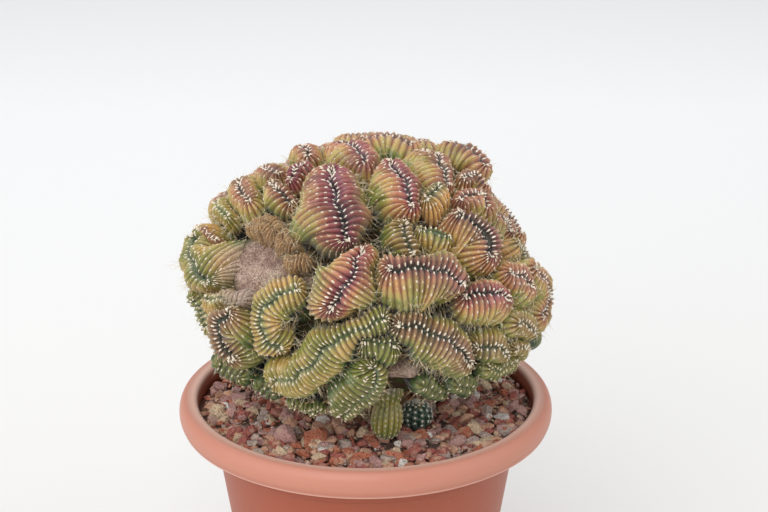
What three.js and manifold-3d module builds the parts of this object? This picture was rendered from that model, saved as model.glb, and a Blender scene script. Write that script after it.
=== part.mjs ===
// Potted crested lobivia: one crested cactus and a small offset in a round plastic pot.
// Millimetres, +Z up. The origin is the centre of the pot's flat base.
import * as THREE from 'three';
import { mergeVertices } from 'three/addons/utils/BufferGeometryUtils.js';
import Module from 'manifold-3d';

// Points closer than this are one point.
const WELD = 1e-3;

// Pot
const RIM_TOP = 100;
const RIM_RADIUS = 65;
const RIM_HALF_WIDTH = 2.95;
const RIM_HALF_HEIGHT = 4.9;
const NECK_RADIUS = 54.6;
const NECK_HEIGHT = 89.5;
const LEDGE_HEIGHT = RIM_TOP - 16;
const WALL_TOP_RADIUS = 52.4;
const BASE_RADIUS = 39.5;
const BASE_ROUND = 1.6;
const WALL = 2.2;
const FLOOR = 2.6;
const POT_SEGMENTS = 44;
const LEDGE_STEP = 0.6;
const RIM_ARC = { from: -75, to: 225, step: 37.5 };
const DRAIN_RADIUS = 4;
const DRAIN_SIDES = 10;
const DRAIN_RING = 24;
const DRAIN_HOLES = 6;

// Soil and stones
const GAP = 0.35;
const SOIL_EDGE = 92.6;
const SOIL_MOUND = 1.6;
const SOIL_TOP_RADIUS = 57.6;
const SOIL_SEGMENTS = 28;
const SOIL_STEPS = [1, 0.7, 0.35, 0];
const HOLE_TOP = 110;
const GRAIN_COUNT = 112;
const GRAIN_SHIFT = 0.8;
const GRAIN_SMALLEST = 2.3;
const GRAIN_LARGEST = 4.7;
const GRAIN_STEM_CLEARANCE = 3;
const GRAIN_RISE = 0.1;
const GRAIN_STRETCH = 1.2;
const GRAIN_SQUASH = 0.62;
const GRAIN_TILT = 0.9;
const SOIL_SEED = 41;

// Cactus
const HULL = new THREE.Vector3(65, 62, 50.5);
const HULL_CENTRE = new THREE.Vector3(0, 0, RIM_TOP + 40);
const CORE = new THREE.Vector3(50, 47, 36);
const UPWARD_LEAN = 0.3;
const CREST_RIB = 11;
const BACK_RIB = 14;
const BACK_AZIMUTH = 95;
const RIB_RELIEF = 1.3;
const LIP_REACH = 0.34;
const SHOULDER_REACH = 0.82;
const SHOULDER_DROP = 0.42;
const FOOT_REACH = 0.95;
const GROOVE_DROP = 0.2;
const ROOT_DEPTH = 18;
const CORE_SIDES = 20;
const CORE_RINGS = 12;
const STEM_TOP_RADIUS = 22;
const STEM_RADIUS = 13;
const STEM_BOTTOM = 62;
const STEM_TIP = 6;
const STEM_NECK = RIM_TOP - 4;
const STEM_SIDES = 14;
const STEM_HOLE_SIDES = 20;
const SPINE_LENGTH = 5.5;
const SPINE_RADIUS = 0.42;
const SPINE_SUNK = 1.6;
const SPINES_PER_LOBE = 2;
const SPINE_SEED = 7;

// Offset beside the stem
const PUP_CENTRE = new THREE.Vector3(17.3, -17, 98.6);
const PUP_RADIUS = 5.1;
const PUP_SIDES = 14;
const PUP_RINGS = 8;
const PUP_TUBERCLE = 0.5;
const PUP_SPINE_LENGTH = 2.2;
const PUP_SPINE_RADIUS = 0.3;
const PUP_STALK_RADIUS = 2.6;
const PUP_STALK_BOTTOM = 82;
const PUP_STALK_SIDES = 10;

// Each lobe is a length of crest: its name, the reach of its first and second cheek, and points
// along its growing line. A point has its azimuth and latitude on the hull in degrees, with the
// azimuth turning from -Y towards +X, and its lift out from the hull in millimetres. The first
// cheek is the left one where the line runs down the front, and the lower one where it runs right.
const LOBES = [
  ['crimson_crown', 13, 9, [[-27, 67, 0], [-20, 60, 1], [-13, 53, 1], [-9, 46, 0], [-8, 41, -2]]],
  ['top_left', 12.5, 8, [[-110, 83, 0], [-45, 86, 1], [-13, 83, 1], [2, 77, 0]]],
  ['top_back', 9, 9, [[120, 74, 0], [145, 79, 1], [178, 82, 0]]],
  ['top_left_back', 6.5, 6.5, [[-95, 72, 1], [-84, 73, 1], [-73, 72, 0]]],
  ['plum_knob', 7, 7, [[-60, 68, 0], [-58, 65, 0], [-52, 62, -1]]],
  ['left_fan', 7.5, 7.5, [[-62, 57, -1], [-52, 57, -1], [-44, 55, -4]]],
  ['left_ridge_red', 6.5, 6.5, [[-83, 59, 0], [-77, 60, 0], [-69, 61, -1]]],
  ['left_shoulder', 8, 8, [[-85, 49, 0], [-77, 49, 0], [-66, 48, -2]]],
  ['left_shoulder_low', 7, 7, [[-87, 37, -1], [-80, 38, -1], [-70, 38, -3]]],
  ['left_edge', 5.5, 6, [[-84, 28, -1], [-77, 30, -1], [-68, 30, -4]]],
  ['left_eye', 7.5, 12, [[-80, 25, 0], [-71, 20, 1], [-65, 18, 1], [-59, 15, -1]]],
  ['left_fold', 6.5, 6.5, [[-62, 10, -1], [-55, 12, -2], [-48, 13, -4]]],
  ['left_back_low', 7.5, 7.5, [[-67, 4, -3], [-64, -1, -4], [-62, -6, -5]]],
  ['left_front', 7.5, 9.5, [
    [-42, 8, 0], [-44, 2, 1], [-46, -4, 1], [-44, -9, 1], [-40, -13, 0], [-35, -13, -1],
  ]],
  ['loop', 7.5, 7.5, [
    [-16, 22, -1], [-23, 21, 0], [-29, 18, 0], [-33, 13, 0], [-34, 7, 0], [-32, 1, -1], [-28, -3, -3],
  ]],
  ['brow', 11.5, 8, [[0, 40, -1], [-2, 35, 0], [-4, 29, 1], [-7, 23, 1], [-10, 18, 0]]],
  ['long_diagonal', 8.5, 8.5, [
    [5, 13, -1], [-3, 9, 0], [-10, 4, 0], [-15, -4, 0], [-21, -11, 0], [-28, -16, -1],
  ]],
  ['centre_dark', 9, 8, [[13, 47, -4], [14, 42, -4], [14, 37, -5]]],
  ['crown_right', 12.5, 7.5, [[24, 74, 0], [26, 66, 1], [25, 59, 1], [23, 53, 1], [20, 49, -1]]],
  ['crown_far_right', 12, 7, [[88, 71, 0], [80, 68, 1], [64, 64, 1], [53, 58, 0]]],
  ['right_peak', 7.5, 7.5, [[100, 64, 2], [93, 61, 3], [88, 57, 3], [83, 54, 2]]],
  ['right_peak_low', 7, 7, [[64, 57, 1], [72, 55, 2], [73, 51, 1]]],
  ['right_shoulder', 8, 8, [[49, 51, 0], [58, 51, 1], [63, 49, 1], [60, 46, 0]]],
  ['amber_knob', 7, 7, [[43, 52, -2], [38, 50, -2], [33, 49, -3]]],
  ['right_fan', 12.5, 6.5, [[42, 46, 0], [46, 42, 1], [49, 39, 1], [49, 35, 1], [49, 31, 0]]],
  ['right_back_red', 7.5, 7.5, [[70, 42, -4], [76, 37, -5], [73, 33, -5]]],
  ['right_back_amber', 7.5, 7.5, [[72, 28, -5], [75, 23, -6], [73, 18, -6]]],
  ['right_middle', 11, 7.5, [[8, 31, 0], [14, 31, 1], [20, 30, 2], [26, 27, 1], [30, 23, 0]]],
  ['right_middle_low', 10, 7.5, [[31, 18, 0], [36, 18, 1], [42, 16, 1], [48, 11, 0]]],
  ['right_stripe', 9, 7, [[52, 21, -1], [56, 18, 0], [59, 14, 0]]],
  ['right_edge', 8, 8, [[69, 16, -2], [74, 8, -1], [75, 1, -1], [68, -3, -1]]],
  ['low_right_far', 8, 7.5, [[49, 0, 0], [55, -3, 0], [61, -8, 0]]],
  ['low_right_under', 7, 7, [[60, -15, -1], [54, -17, -1], [47, -17, -1], [40, -14, -1]]],
  ['low_right', 8, 8, [[34, -3, -2], [40, -5, 0], [46, -9, 0]]],
  ['front_diagonal', 9, 7, [[10, 11, -1], [16, 9, 0], [22, 5, 1], [27, 0, 1], [31, -7, 0]]],
  ['centre_wedge', 7, 7, [[2, 3, -3], [3, -2, -3], [7, -6, -3]]],
  ['front_oval', 10, 6.5, [[1, -5, -2], [2, -12, -1], [0, -20, 0], [-4, -29, -1]]],
  ['shade_right', 6, 6, [[15, -18, -4], [20, -24, -5], [25, -29, -6]]],
  ['shade_right_far', 7, 7, [[31, -22, -2], [36, -24, -2]]],
  ['front_knobs', 5, 5, [[-25, -31, -2], [-19, -33, -2]]],
  ['shade_left', 6.5, 6.5, [[-56, -19, -1], [-50, -24, -2]]],
  ['shade_left_near', 6, 6, [[-42, -25, -2], [-37, -28, -2]]],
  ['back_crown', 11, 10, [[-170, 64, 0], [172, 60, 1], [154, 58, 1], [138, 62, 0]]],
  ['back_crown_left', 10, 11, [[-142, 66, -3], [-132, 58, -4], [-118, 53, -7], [-106, 54, -7]]],
  ['back_right_high', 11, 10, [[130, 50, 0], [122, 43, -4], [112, 38, -8], [103, 37, -9]]],
  ['back_right_low', 10, 11, [[112, 24, -8], [103, 20, -9], [94, 15, -8], [88, 8, -4]]],
  ['back_middle', 11, 11, [[146, 42, 0], [156, 38, 1], [168, 39, 1], [179, 44, 0]]],
  ['back_middle_left', 10, 11, [[-160, 45, 0], [-150, 38, 0], [-140, 32, 0], [-137, 24, -1]]],
  ['back_left_high', 10, 10, [[-124, 40, -2], [-113, 37, -2], [-101, 38, -2]]],
  ['back_left', 11, 10, [[-122, 24, -3], [-111, 19, -4], [-100, 17, -5], [-92, 10, -5]]],
  ['back_low', 10, 11, [[-178, 27, 0], [-167, 21, 1], [-157, 13, 1], [-158, 4, 0]]],
  ['back_low_right', 11, 10, [[132, 28, -2], [140, 20, 0], [150, 16, 1], [160, 20, 0]]],
  ['back_skirt_right', 10, 10, [[124, 8, -3], [116, 2, -3], [106, -3, -3], [97, -7, -2]]],
  ['back_skirt', 10, 10, [[175, 5, 0], [164, 0, 1], [152, -3, 1], [141, 2, 0]]],
  ['back_skirt_left', 10, 10, [[-128, 8, -2], [-134, 0, -1], [-143, -6, -1]]],
  ['left_skirt', 9, 9, [[-108, 4, -4], [-98, -2, -6], [-88, -7, -8]]],
  ['back_under', 9, 9, [[-170, -14, -1], [177, -17, 0], [165, -18, -1]]],
  ['back_under_right', 9, 9, [[138, -14, -1], [128, -15, -1], [117, -17, -2]]],
  ['right_under', 8, 8, [[98, -20, -3], [88, -17, -2], [78, -15, -2]]],
  ['back_under_left', 9, 9, [[-122, -14, -2], [-111, -16, -3], [-100, -19, -4]]],
];

// A short stem that hangs from the underside in front and just clears the stones.
const FINGER = { top: [9, -29, 119], bottom: [7.7, -30.5, 96.6], radius: 5.6 };

const wasm = await Module();
wasm.setup();

const radians = THREE.MathUtils.degToRad;

// A repeatable stream of numbers from 0 to 1.
function randomStream(seed) {
  let state = seed;
  return () => {
    state = (state * 1664525 + 1013904223) % 4294967296;
    return state / 4294967296;
  };
}

// A closed geometry as a solid that can be joined and cut.
function toSolid(source) {
  const bare = source.clone();
  bare.deleteAttribute('normal');
  bare.deleteAttribute('uv');
  const merged = mergeVertices(bare, WELD);
  const mesh = new wasm.Mesh({
    numProp: 3,
    vertProperties: new Float32Array(merged.attributes.position.array),
    triVerts: new Uint32Array(merged.index.array),
  });
  return new wasm.Manifold(mesh);
}

// The largest body of a solid as a geometry, without sealed hollows or loose scraps.
function largestBody(solid) {
  const bodies = solid.decompose();
  bodies.sort((a, b) => b.volume() - a.volume());
  const mesh = bodies[0].getMesh();
  const result = new THREE.BufferGeometry();
  result.setAttribute('position', new THREE.BufferAttribute(new Float32Array(mesh.vertProperties), 3));
  result.setIndex(new THREE.BufferAttribute(new Uint32Array(mesh.triVerts), 1));
  return result;
}

// A cut or joined solid as a geometry. Welding its short edges can part it, so it is sorted twice.
function toGeometry(solid) {
  const result = largestBody(toSolid(largestBody(solid)));
  result.computeVertexNormals();
  return result;
}

function fuse(solids) {
  return wasm.Manifold.union(solids);
}

function part(name, source, colour, roughness) {
  const material = new THREE.MeshStandardMaterial({ color: colour, roughness, metalness: 0 });
  const mesh = new THREE.Mesh(source, material);
  mesh.name = name;
  return mesh;
}

// Builds triangles from points, and joins rings of points into a surface.
class Surface {
  constructor() {
    this.points = [];
    this.faces = [];
  }

  add(point) {
    this.points.push(point.x, point.y, point.z);
    return this.points.length / 3 - 1;
  }

  face(a, b, c) {
    this.faces.push(a, b, c);
  }

  // Joins a lower and an upper ring with the same number of points.
  band(lower, upper) {
    const count = lower.length;
    for (let i = 0; i < count; i += 1) {
      const next = (i + 1) % count;
      this.face(lower[i], lower[next], upper[i]);
      this.face(lower[next], upper[next], upper[i]);
    }
  }

  // Joins a ring down to one that has every second point of it.
  halfBand(upper, lower) {
    const count = lower.length;
    for (let i = 0; i < count; i += 1) {
      const next = lower[(i + 1) % count];
      const last = upper[(2 * i + 2) % upper.length];
      this.face(lower[i], upper[2 * i + 1], upper[2 * i]);
      this.face(lower[i], next, upper[2 * i + 1]);
      this.face(next, last, upper[2 * i + 1]);
    }
  }

  // Closes a ring made of a left run, an end, a right run and a start, along a middle line.
  seam(ring, middle, endCount, facesUp) {
    const runs = middle.length;
    const turn = (a, b, c) => (facesUp ? this.face(a, b, c) : this.face(b, a, c));
    const right = (i) => ring[runs + endCount + runs - 1 - i];
    for (let i = 0; i < runs - 1; i += 1) {
      turn(ring[i], ring[i + 1], middle[i]);
      turn(ring[i + 1], middle[i + 1], middle[i]);
      turn(middle[i], middle[i + 1], right(i));
      turn(middle[i + 1], right(i + 1), right(i));
    }
    const end = ring.slice(runs - 1, runs + endCount + 1);
    for (let i = 0; i < end.length - 1; i += 1) {
      turn(end[i], end[i + 1], middle[runs - 1]);
    }
    const start = [...ring.slice(2 * runs + endCount - 1), ring[0]];
    for (let i = 0; i < start.length - 1; i += 1) {
      turn(start[i], start[i + 1], middle[0]);
    }
  }

  solid() {
    const source = new THREE.BufferGeometry();
    source.setAttribute('position', new THREE.Float32BufferAttribute(this.points, 3));
    source.setIndex(this.faces);
    return toSolid(source);
  }
}

// The point of the hull at an azimuth and latitude, moved out along its normal.
function hullPoint([azimuth, latitude, lift]) {
  const a = radians(azimuth);
  const b = radians(latitude);
  const unit = new THREE.Vector3(Math.sin(a) * Math.cos(b), -Math.cos(a) * Math.cos(b), Math.sin(b));
  const normal = unit.clone().divide(HULL).normalize();
  return unit.multiply(HULL).add(HULL_CENTRE).addScaledVector(normal, lift);
}

// The growing line's place, direction, sideways and outward vectors at a share of its length.
function crestFrame(curve, share) {
  const point = curve.getPoint(share);
  const forward = curve.getTangent(share);
  const outward = point.clone().sub(HULL_CENTRE).divide(HULL).divide(HULL).normalize();
  outward.z += UPWARD_LEAN;
  const side = forward.clone().cross(outward).normalize();
  outward.copy(side).cross(forward).normalize();
  return { point, forward, side, outward };
}

// How strongly the growing line turns towards its side vector, per millimetre.
function crestBend(curve, share) {
  const step = 0.02;
  const before = crestFrame(curve, Math.max(0, share - step));
  const after = crestFrame(curve, Math.min(1, share + step));
  const travelled = after.point.distanceTo(before.point);
  return after.forward.clone().sub(before.forward).dot(before.side) / travelled;
}

// The stations round a lobe: down its left side, round the end, back up its right side and
// round the start. Each has its share of the length and its direction away from the line.
function stations(length, halfWidth, rib) {
  const runs = 2 * Math.max(1, Math.round(length / rib)) + 1;
  const ends = 2 * Math.max(1, Math.round((Math.PI * halfWidth) / rib) - 1) + 1;
  const ring = [];
  for (let i = 0; i < runs; i += 1) {
    ring.push({ share: i / (runs - 1), turn: 0 });
  }
  for (let i = 1; i <= ends; i += 1) {
    ring.push({ share: 1, turn: (Math.PI * i) / (ends + 1) });
  }
  for (let i = 0; i < runs; i += 1) {
    ring.push({ share: 1 - i / (runs - 1), turn: Math.PI });
  }
  for (let i = 1; i <= ends; i += 1) {
    ring.push({ share: 0, turn: Math.PI + (Math.PI * i) / (ends + 1) });
  }
  return { ring, runs, ends };
}

// A lobe's reach at a station, shared between its two cheeks round the ends.
function cheekReach(cheeks, station) {
  const share = (1 + Math.cos(station.turn)) / 2;
  return cheeks[0] * share + cheeks[1] * (1 - share);
}

// A point of a lobe's surface: out from the line by reach, down from its top by drop.
function lobePoint(curve, station, reach, drop) {
  const frame = crestFrame(curve, station.share);
  const across = Math.cos(station.turn);
  const along = Math.sin(station.turn);
  const direction = frame.side.clone().multiplyScalar(across).addScaledVector(frame.forward, along);
  const bend = Math.max(0, crestBend(curve, station.share) * across * reach);
  const held = reach / (1 + bend);
  return frame.point.clone().addScaledVector(direction, held).addScaledVector(frame.outward, -drop);
}

// One lobe: a fat ridge with a groove along its growing line and ribs down its cheeks.
function lobe([, first, second, places]) {
  const curve = new THREE.CatmullRomCurve3(places.map(hullPoint), false, 'catmullrom', 0.5);
  const cheeks = [first, second];
  const middle = (first + second) / 2;
  const rib = Math.abs(places[0][0]) > BACK_AZIMUTH ? BACK_RIB : CREST_RIB;
  const { ring, runs, ends } = stations(curve.getLength(), middle, rib);
  const surface = new Surface();
  const row = (reach, drop, relief) => ring.map((station, i) => {
    const raised = i % 2 === 0 ? relief : -relief;
    const out = cheekReach(cheeks, station) * reach + raised;
    return surface.add(lobePoint(curve, station, out, drop - raised));
  });
  const line = (drop, count) => Array.from({ length: count }, (_, i) => {
    const frame = crestFrame(curve, count === 1 ? 0.5 : i / (count - 1));
    return surface.add(frame.point.clone().addScaledVector(frame.outward, -drop));
  });
  const root = ROOT_DEPTH + places[0][2];
  const lip = row(LIP_REACH, 0, RIB_RELIEF / 3);
  const shoulder = row(SHOULDER_REACH, middle * SHOULDER_DROP, RIB_RELIEF);
  const foot = ring.filter((_, i) => i % 2 === 0).map((station) => (
    surface.add(lobePoint(curve, station, cheekReach(cheeks, station) * FOOT_REACH, root))
  ));
  surface.seam(lip, line(middle * GROOVE_DROP, runs), ends, true);
  surface.band(shoulder, lip);
  surface.halfBand(shoulder, foot);
  surface.seam(foot, line(root, (runs + 1) / 2), (ends - 1) / 2, false);
  return { curve, ring, cheeks, middle, solid: surface.solid() };
}

// A needle of three sides with its root sunk below the skin.
function needle(root, direction, length, radius) {
  const shape = new THREE.ConeGeometry(radius, length + SPINE_SUNK, 3);
  shape.translate(0, (length + SPINE_SUNK) / 2 - SPINE_SUNK, 0);
  const turn = new THREE.Quaternion().setFromUnitVectors(new THREE.Vector3(0, 1, 0), direction);
  shape.applyQuaternion(turn);
  shape.translate(root.x, root.y, root.z);
  return toSolid(shape);
}

// A few spines on each lobe's cheeks, out and slightly down, clear of the pot.
function lobeSpines(lobes) {
  const random = randomStream(SPINE_SEED);
  const needles = [];
  for (const { curve, ring, cheeks, middle } of lobes) {
    for (let i = 0; i < SPINES_PER_LOBE; i += 1) {
      const place = (i + random()) / SPINES_PER_LOBE;
      const station = ring[Math.floor(place * ring.length)];
      const reach = cheekReach(cheeks, station);
      const root = lobePoint(curve, station, reach * 0.84, middle * (0.46 + 0.2 * random()));
      const inner = lobePoint(curve, station, reach * 0.2, middle);
      const direction = root.clone().sub(inner).normalize();
      const tip = root.clone().addScaledVector(direction, SPINE_LENGTH);
      if (tip.z > RIM_TOP + 8) {
        needles.push(needle(root, direction, SPINE_LENGTH, SPINE_RADIUS));
      }
    }
  }
  return needles;
}

// A round-ended stem between two points.
function fingerStem({ top, bottom, radius }) {
  const from = new THREE.Vector3(...bottom);
  const to = new THREE.Vector3(...top);
  const shape = new THREE.CapsuleGeometry(radius, from.distanceTo(to) - radius, 3, 9);
  const along = to.clone().sub(from).normalize();
  const centre = from.clone().addScaledVector(along, radius + (from.distanceTo(to) - radius) / 2);
  shape.applyQuaternion(new THREE.Quaternion().setFromUnitVectors(new THREE.Vector3(0, 1, 0), along));
  shape.translate(centre.x, centre.y, centre.z);
  return toSolid(shape);
}

// A body turned about the vertical axis from radius and height pairs.
function turned(pairs, segments) {
  const shape = new THREE.LatheGeometry(pairs.map(([r, z]) => new THREE.Vector2(r, z)), segments);
  shape.rotateX(Math.PI / 2);
  return shape;
}

// The stem: it widens from the soil into the underside of the core.
function stem() {
  const corkTop = HULL_CENTRE.z - CORE.z + STEM_TIP;
  return toSolid(turned([
    [0, STEM_BOTTOM],
    [STEM_RADIUS - STEM_TIP, STEM_BOTTOM],
    [STEM_RADIUS, STEM_BOTTOM + STEM_TIP],
    [STEM_RADIUS, STEM_NECK],
    [STEM_TOP_RADIUS, corkTop],
    [0, corkTop],
  ], STEM_SIDES));
}

// The old flesh that the lobes stand on, seen only in the cork saddle and from below.
function core() {
  const shape = new THREE.SphereGeometry(1, CORE_SIDES, CORE_RINGS);
  shape.rotateX(Math.PI / 2);
  shape.scale(CORE.x, CORE.y, CORE.z);
  shape.translate(HULL_CENTRE.x, HULL_CENTRE.y, HULL_CENTRE.z);
  return toSolid(shape);
}

function crestedCactus() {
  const lobes = LOBES.map(lobe);
  const solids = lobes.map(({ solid }) => solid);
  const body = fuse([core(), stem(), fingerStem(FINGER), ...solids, ...lobeSpines(lobes)]);
  return part('crested_cactus', toGeometry(body), 0x8c7f3a, 0.55);
}

// The offset: a small globe whose every second corner is a raised tubercle, with a short spine
// on each of the upper ones, and a stalk that stands in the soil.
function pup() {
  const globe = new THREE.SphereGeometry(PUP_RADIUS, PUP_SIDES, PUP_RINGS);
  globe.rotateX(Math.PI / 2);
  const corners = globe.attributes.position;
  const needles = [];
  for (let i = 0; i < corners.count; i += 1) {
    const corner = new THREE.Vector3().fromBufferAttribute(corners, i);
    const column = i % (PUP_SIDES + 1);
    const row = Math.floor(i / (PUP_SIDES + 1));
    const pole = row === 0 || row === PUP_RINGS;
    const raised = (column % PUP_SIDES + row) % 2 === 0 ? 1 : -1;
    const direction = corner.clone().normalize();
    if (!pole) {
      corner.addScaledVector(direction, raised * PUP_TUBERCLE);
      corners.setXYZ(i, corner.x, corner.y, corner.z);
    }
    if (!pole && raised > 0 && corner.z > 0 && column < PUP_SIDES) {
      needles.push(needle(corner, direction, PUP_SPINE_LENGTH, PUP_SPINE_RADIUS));
    }
  }
  const stalkTop = PUP_STALK_RADIUS - PUP_RADIUS;
  const stalk = turned([
    [0, PUP_STALK_BOTTOM - PUP_CENTRE.z],
    [PUP_STALK_RADIUS, PUP_STALK_BOTTOM - PUP_CENTRE.z],
    [PUP_STALK_RADIUS, stalkTop],
    [0, stalkTop],
  ], PUP_STALK_SIDES);
  const body = fuse([toSolid(globe), toSolid(stalk), ...needles]);
  const mesh = part('offset_pup', toGeometry(body), 0x2f5a3c, 0.6);
  mesh.position.copy(PUP_CENTRE);
  return mesh;
}

// The inner wall's section from the top down, moved in by an inset.
function innerWall(inset) {
  const thickness = WALL + inset;
  return [
    [NECK_RADIUS - thickness, NECK_HEIGHT - WALL / 2],
    [NECK_RADIUS - thickness, LEDGE_HEIGHT + LEDGE_STEP],
    [WALL_TOP_RADIUS - thickness, LEDGE_HEIGHT - LEDGE_STEP],
    [BASE_RADIUS - thickness, FLOOR],
  ];
}

// The pot's section, up the outside, over the rolled rim and down the inside.
function potSection() {
  const rimCentre = RIM_RADIUS - RIM_HALF_WIDTH;
  const rimMiddle = RIM_TOP - RIM_HALF_HEIGHT;
  const pairs = [
    [0, 0],
    [BASE_RADIUS - BASE_ROUND, 0],
    [BASE_RADIUS, BASE_ROUND],
    [WALL_TOP_RADIUS, LEDGE_HEIGHT],
    [NECK_RADIUS, LEDGE_HEIGHT + LEDGE_STEP],
    [NECK_RADIUS, NECK_HEIGHT],
  ];
  for (let degrees = RIM_ARC.from; degrees <= RIM_ARC.to; degrees += RIM_ARC.step) {
    const turn = radians(degrees);
    pairs.push([rimCentre + RIM_HALF_WIDTH * Math.cos(turn), rimMiddle + RIM_HALF_HEIGHT * Math.sin(turn)]);
  }
  return [...pairs, ...innerWall(0), [0, FLOOR]];
}

function pot() {
  let body = toSolid(turned(potSection(), POT_SEGMENTS));
  for (let i = 0; i < DRAIN_HOLES; i += 1) {
    const turn = (2 * Math.PI * i) / DRAIN_HOLES;
    const drill = new THREE.CylinderGeometry(DRAIN_RADIUS, DRAIN_RADIUS, 4 * FLOOR, DRAIN_SIDES);
    drill.rotateX(Math.PI / 2);
    drill.translate(DRAIN_RING * Math.cos(turn), DRAIN_RING * Math.sin(turn), 0);
    body = body.subtract(toSolid(drill));
  }
  return part('pot', toGeometry(body), 0xc98770, 0.45);
}

// An angular stone: a rough lump of eight faces, stretched, squashed and turned at random.
function grain(x, y, z, size, random) {
  const stretch = () => GRAIN_STRETCH - 2 * (GRAIN_STRETCH - 1) * random();
  const shape = new THREE.OctahedronGeometry(size, 0);
  shape.scale(stretch(), stretch(), stretch() * GRAIN_SQUASH);
  shape.rotateX(GRAIN_TILT * (random() - 0.5));
  shape.rotateY(GRAIN_TILT * (random() - 0.5));
  shape.rotateZ(2 * Math.PI * random());
  shape.translate(x, y, z);
  return toSolid(shape);
}

function soilHeight(radius) {
  const share = Math.min(1, radius / SOIL_TOP_RADIUS);
  return SOIL_EDGE + SOIL_MOUND * (1 - share * share);
}

// Stones in a sunflower pattern with random shifts, so that they cover the soil evenly.
function stones() {
  const random = randomStream(SOIL_SEED);
  const golden = Math.PI * (3 - Math.sqrt(5));
  const inner = STEM_RADIUS + GRAIN_STEM_CLEARANCE;
  const grains = [];
  for (let i = 0; i < GRAIN_COUNT; i += 1) {
    const size = GRAIN_SMALLEST + (GRAIN_LARGEST - GRAIN_SMALLEST) * random() * random();
    const outer = SOIL_TOP_RADIUS - size * GRAIN_STRETCH;
    const spread = inner + (SOIL_TOP_RADIUS - inner) * Math.sqrt((i + 0.5) / GRAIN_COUNT);
    const radius = Math.min(outer, spread + GRAIN_SHIFT * (random() - 0.5));
    const turn = i * golden + 0.1 * random();
    const x = radius * Math.cos(turn);
    const y = radius * Math.sin(turn);
    const toPup = Math.hypot(x - PUP_CENTRE.x, y - PUP_CENTRE.y);
    const toFinger = Math.hypot(x - FINGER.bottom[0], y - FINGER.bottom[1]);
    if (toPup > PUP_RADIUS + size && toFinger > FINGER.radius + size) {
      grains.push(grain(x, y, soilHeight(radius) + GRAIN_RISE * size, size, random));
    }
  }
  return grains;
}

// A plain round hole in the soil, from a bottom height to above the stones.
function soilHole(x, y, radius, bottom, sides) {
  const shape = turned([[0, bottom], [radius, bottom], [radius, HOLE_TOP], [0, HOLE_TOP]], sides);
  shape.translate(x, y, 0);
  return toSolid(shape);
}

// The substrate: it fills the pot inside its wall, with stones on top and a hole for each stem.
function soil() {
  const inset = 2 * GAP;
  const side = innerWall(inset).reverse();
  side[0] = [side[0][0], FLOOR + GAP];
  const top = SOIL_STEPS.map((share) => {
    const radius = SOIL_TOP_RADIUS * share;
    return [radius, soilHeight(radius)];
  });
  const plug = toSolid(turned([[0, FLOOR + GAP], ...side, ...top], SOIL_SEGMENTS));
  const { x, y } = PUP_CENTRE;
  const body = fuse([plug, ...stones()])
    .subtract(soilHole(0, 0, STEM_RADIUS + GAP, STEM_BOTTOM - GAP, STEM_HOLE_SIDES))
    .subtract(soilHole(x, y, PUP_STALK_RADIUS + GAP, PUP_STALK_BOTTOM - GAP, PUP_STALK_SIDES));
  return part('soil', toGeometry(body), 0x8a5a4a, 0.9);
}

const plant = new THREE.Group();
plant.add(pot());
plant.add(soil());
plant.add(crestedCactus());
plant.add(pup());

export default plant;
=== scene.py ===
# Potted crested lobivia: folded ribbed lobes, a small offset and lava gravel in a plastic pot.
# Shapes are worked out in millimetres and stored in metres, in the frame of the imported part.
import logging
import math
from collections.abc import Iterator, Sequence
from dataclasses import dataclass
from enum import Enum

import bpy
import numpy as np
from bpy.types import Material, Node, NodeSocket, NodeTree, Object
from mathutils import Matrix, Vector, noise
from mathutils.bvhtree import BVHTree


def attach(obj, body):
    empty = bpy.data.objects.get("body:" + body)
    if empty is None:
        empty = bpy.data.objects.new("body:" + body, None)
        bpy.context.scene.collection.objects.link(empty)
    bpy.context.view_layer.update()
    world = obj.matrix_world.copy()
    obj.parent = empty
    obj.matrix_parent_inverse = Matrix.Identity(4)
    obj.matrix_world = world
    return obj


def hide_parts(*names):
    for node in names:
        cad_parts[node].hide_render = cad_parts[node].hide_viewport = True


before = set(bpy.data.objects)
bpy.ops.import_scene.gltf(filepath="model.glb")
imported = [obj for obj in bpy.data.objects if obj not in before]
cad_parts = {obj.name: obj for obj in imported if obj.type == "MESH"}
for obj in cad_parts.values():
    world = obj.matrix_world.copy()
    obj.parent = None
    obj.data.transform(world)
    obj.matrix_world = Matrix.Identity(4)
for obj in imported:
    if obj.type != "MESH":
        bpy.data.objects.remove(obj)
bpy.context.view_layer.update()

LOG = logging.getLogger("crested_lobivia")
MM = 0.001
# On the small ribbed bodies: the power that rounds a rib, and the knobs' height in shares of it.
RIB_ROUNDNESS = 0.8
KNOB_SHARE = 0.35
Array = np.ndarray
Pair = tuple[float, float]
Place = tuple[float, float, float]
Stops = tuple[tuple[float, str], ...]
Links = dict[str | int, object]


def linear(colour: str) -> tuple[float, float, float, float]:
    """Turns an sRGB hex colour into the linear values that shaders read.

    Args:
        colour: Six hex digits after a hash sign.

    Returns:
        Linear red, green and blue, and an alpha of 1.
    """
    values = [int(colour[i : i + 2], 16) / 255 for i in (1, 3, 5)]
    red, shade_green, blue = (v / 12.92 if v <= 0.04045 else ((v + 0.055) / 1.055) ** 2.4 for v in values)
    return red, shade_green, blue, 1.0


def scale_of(wave: float) -> float:
    """Finds the scale of a noise whose waves are so many millimetres long."""
    return 1 / (wave * MM)


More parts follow.
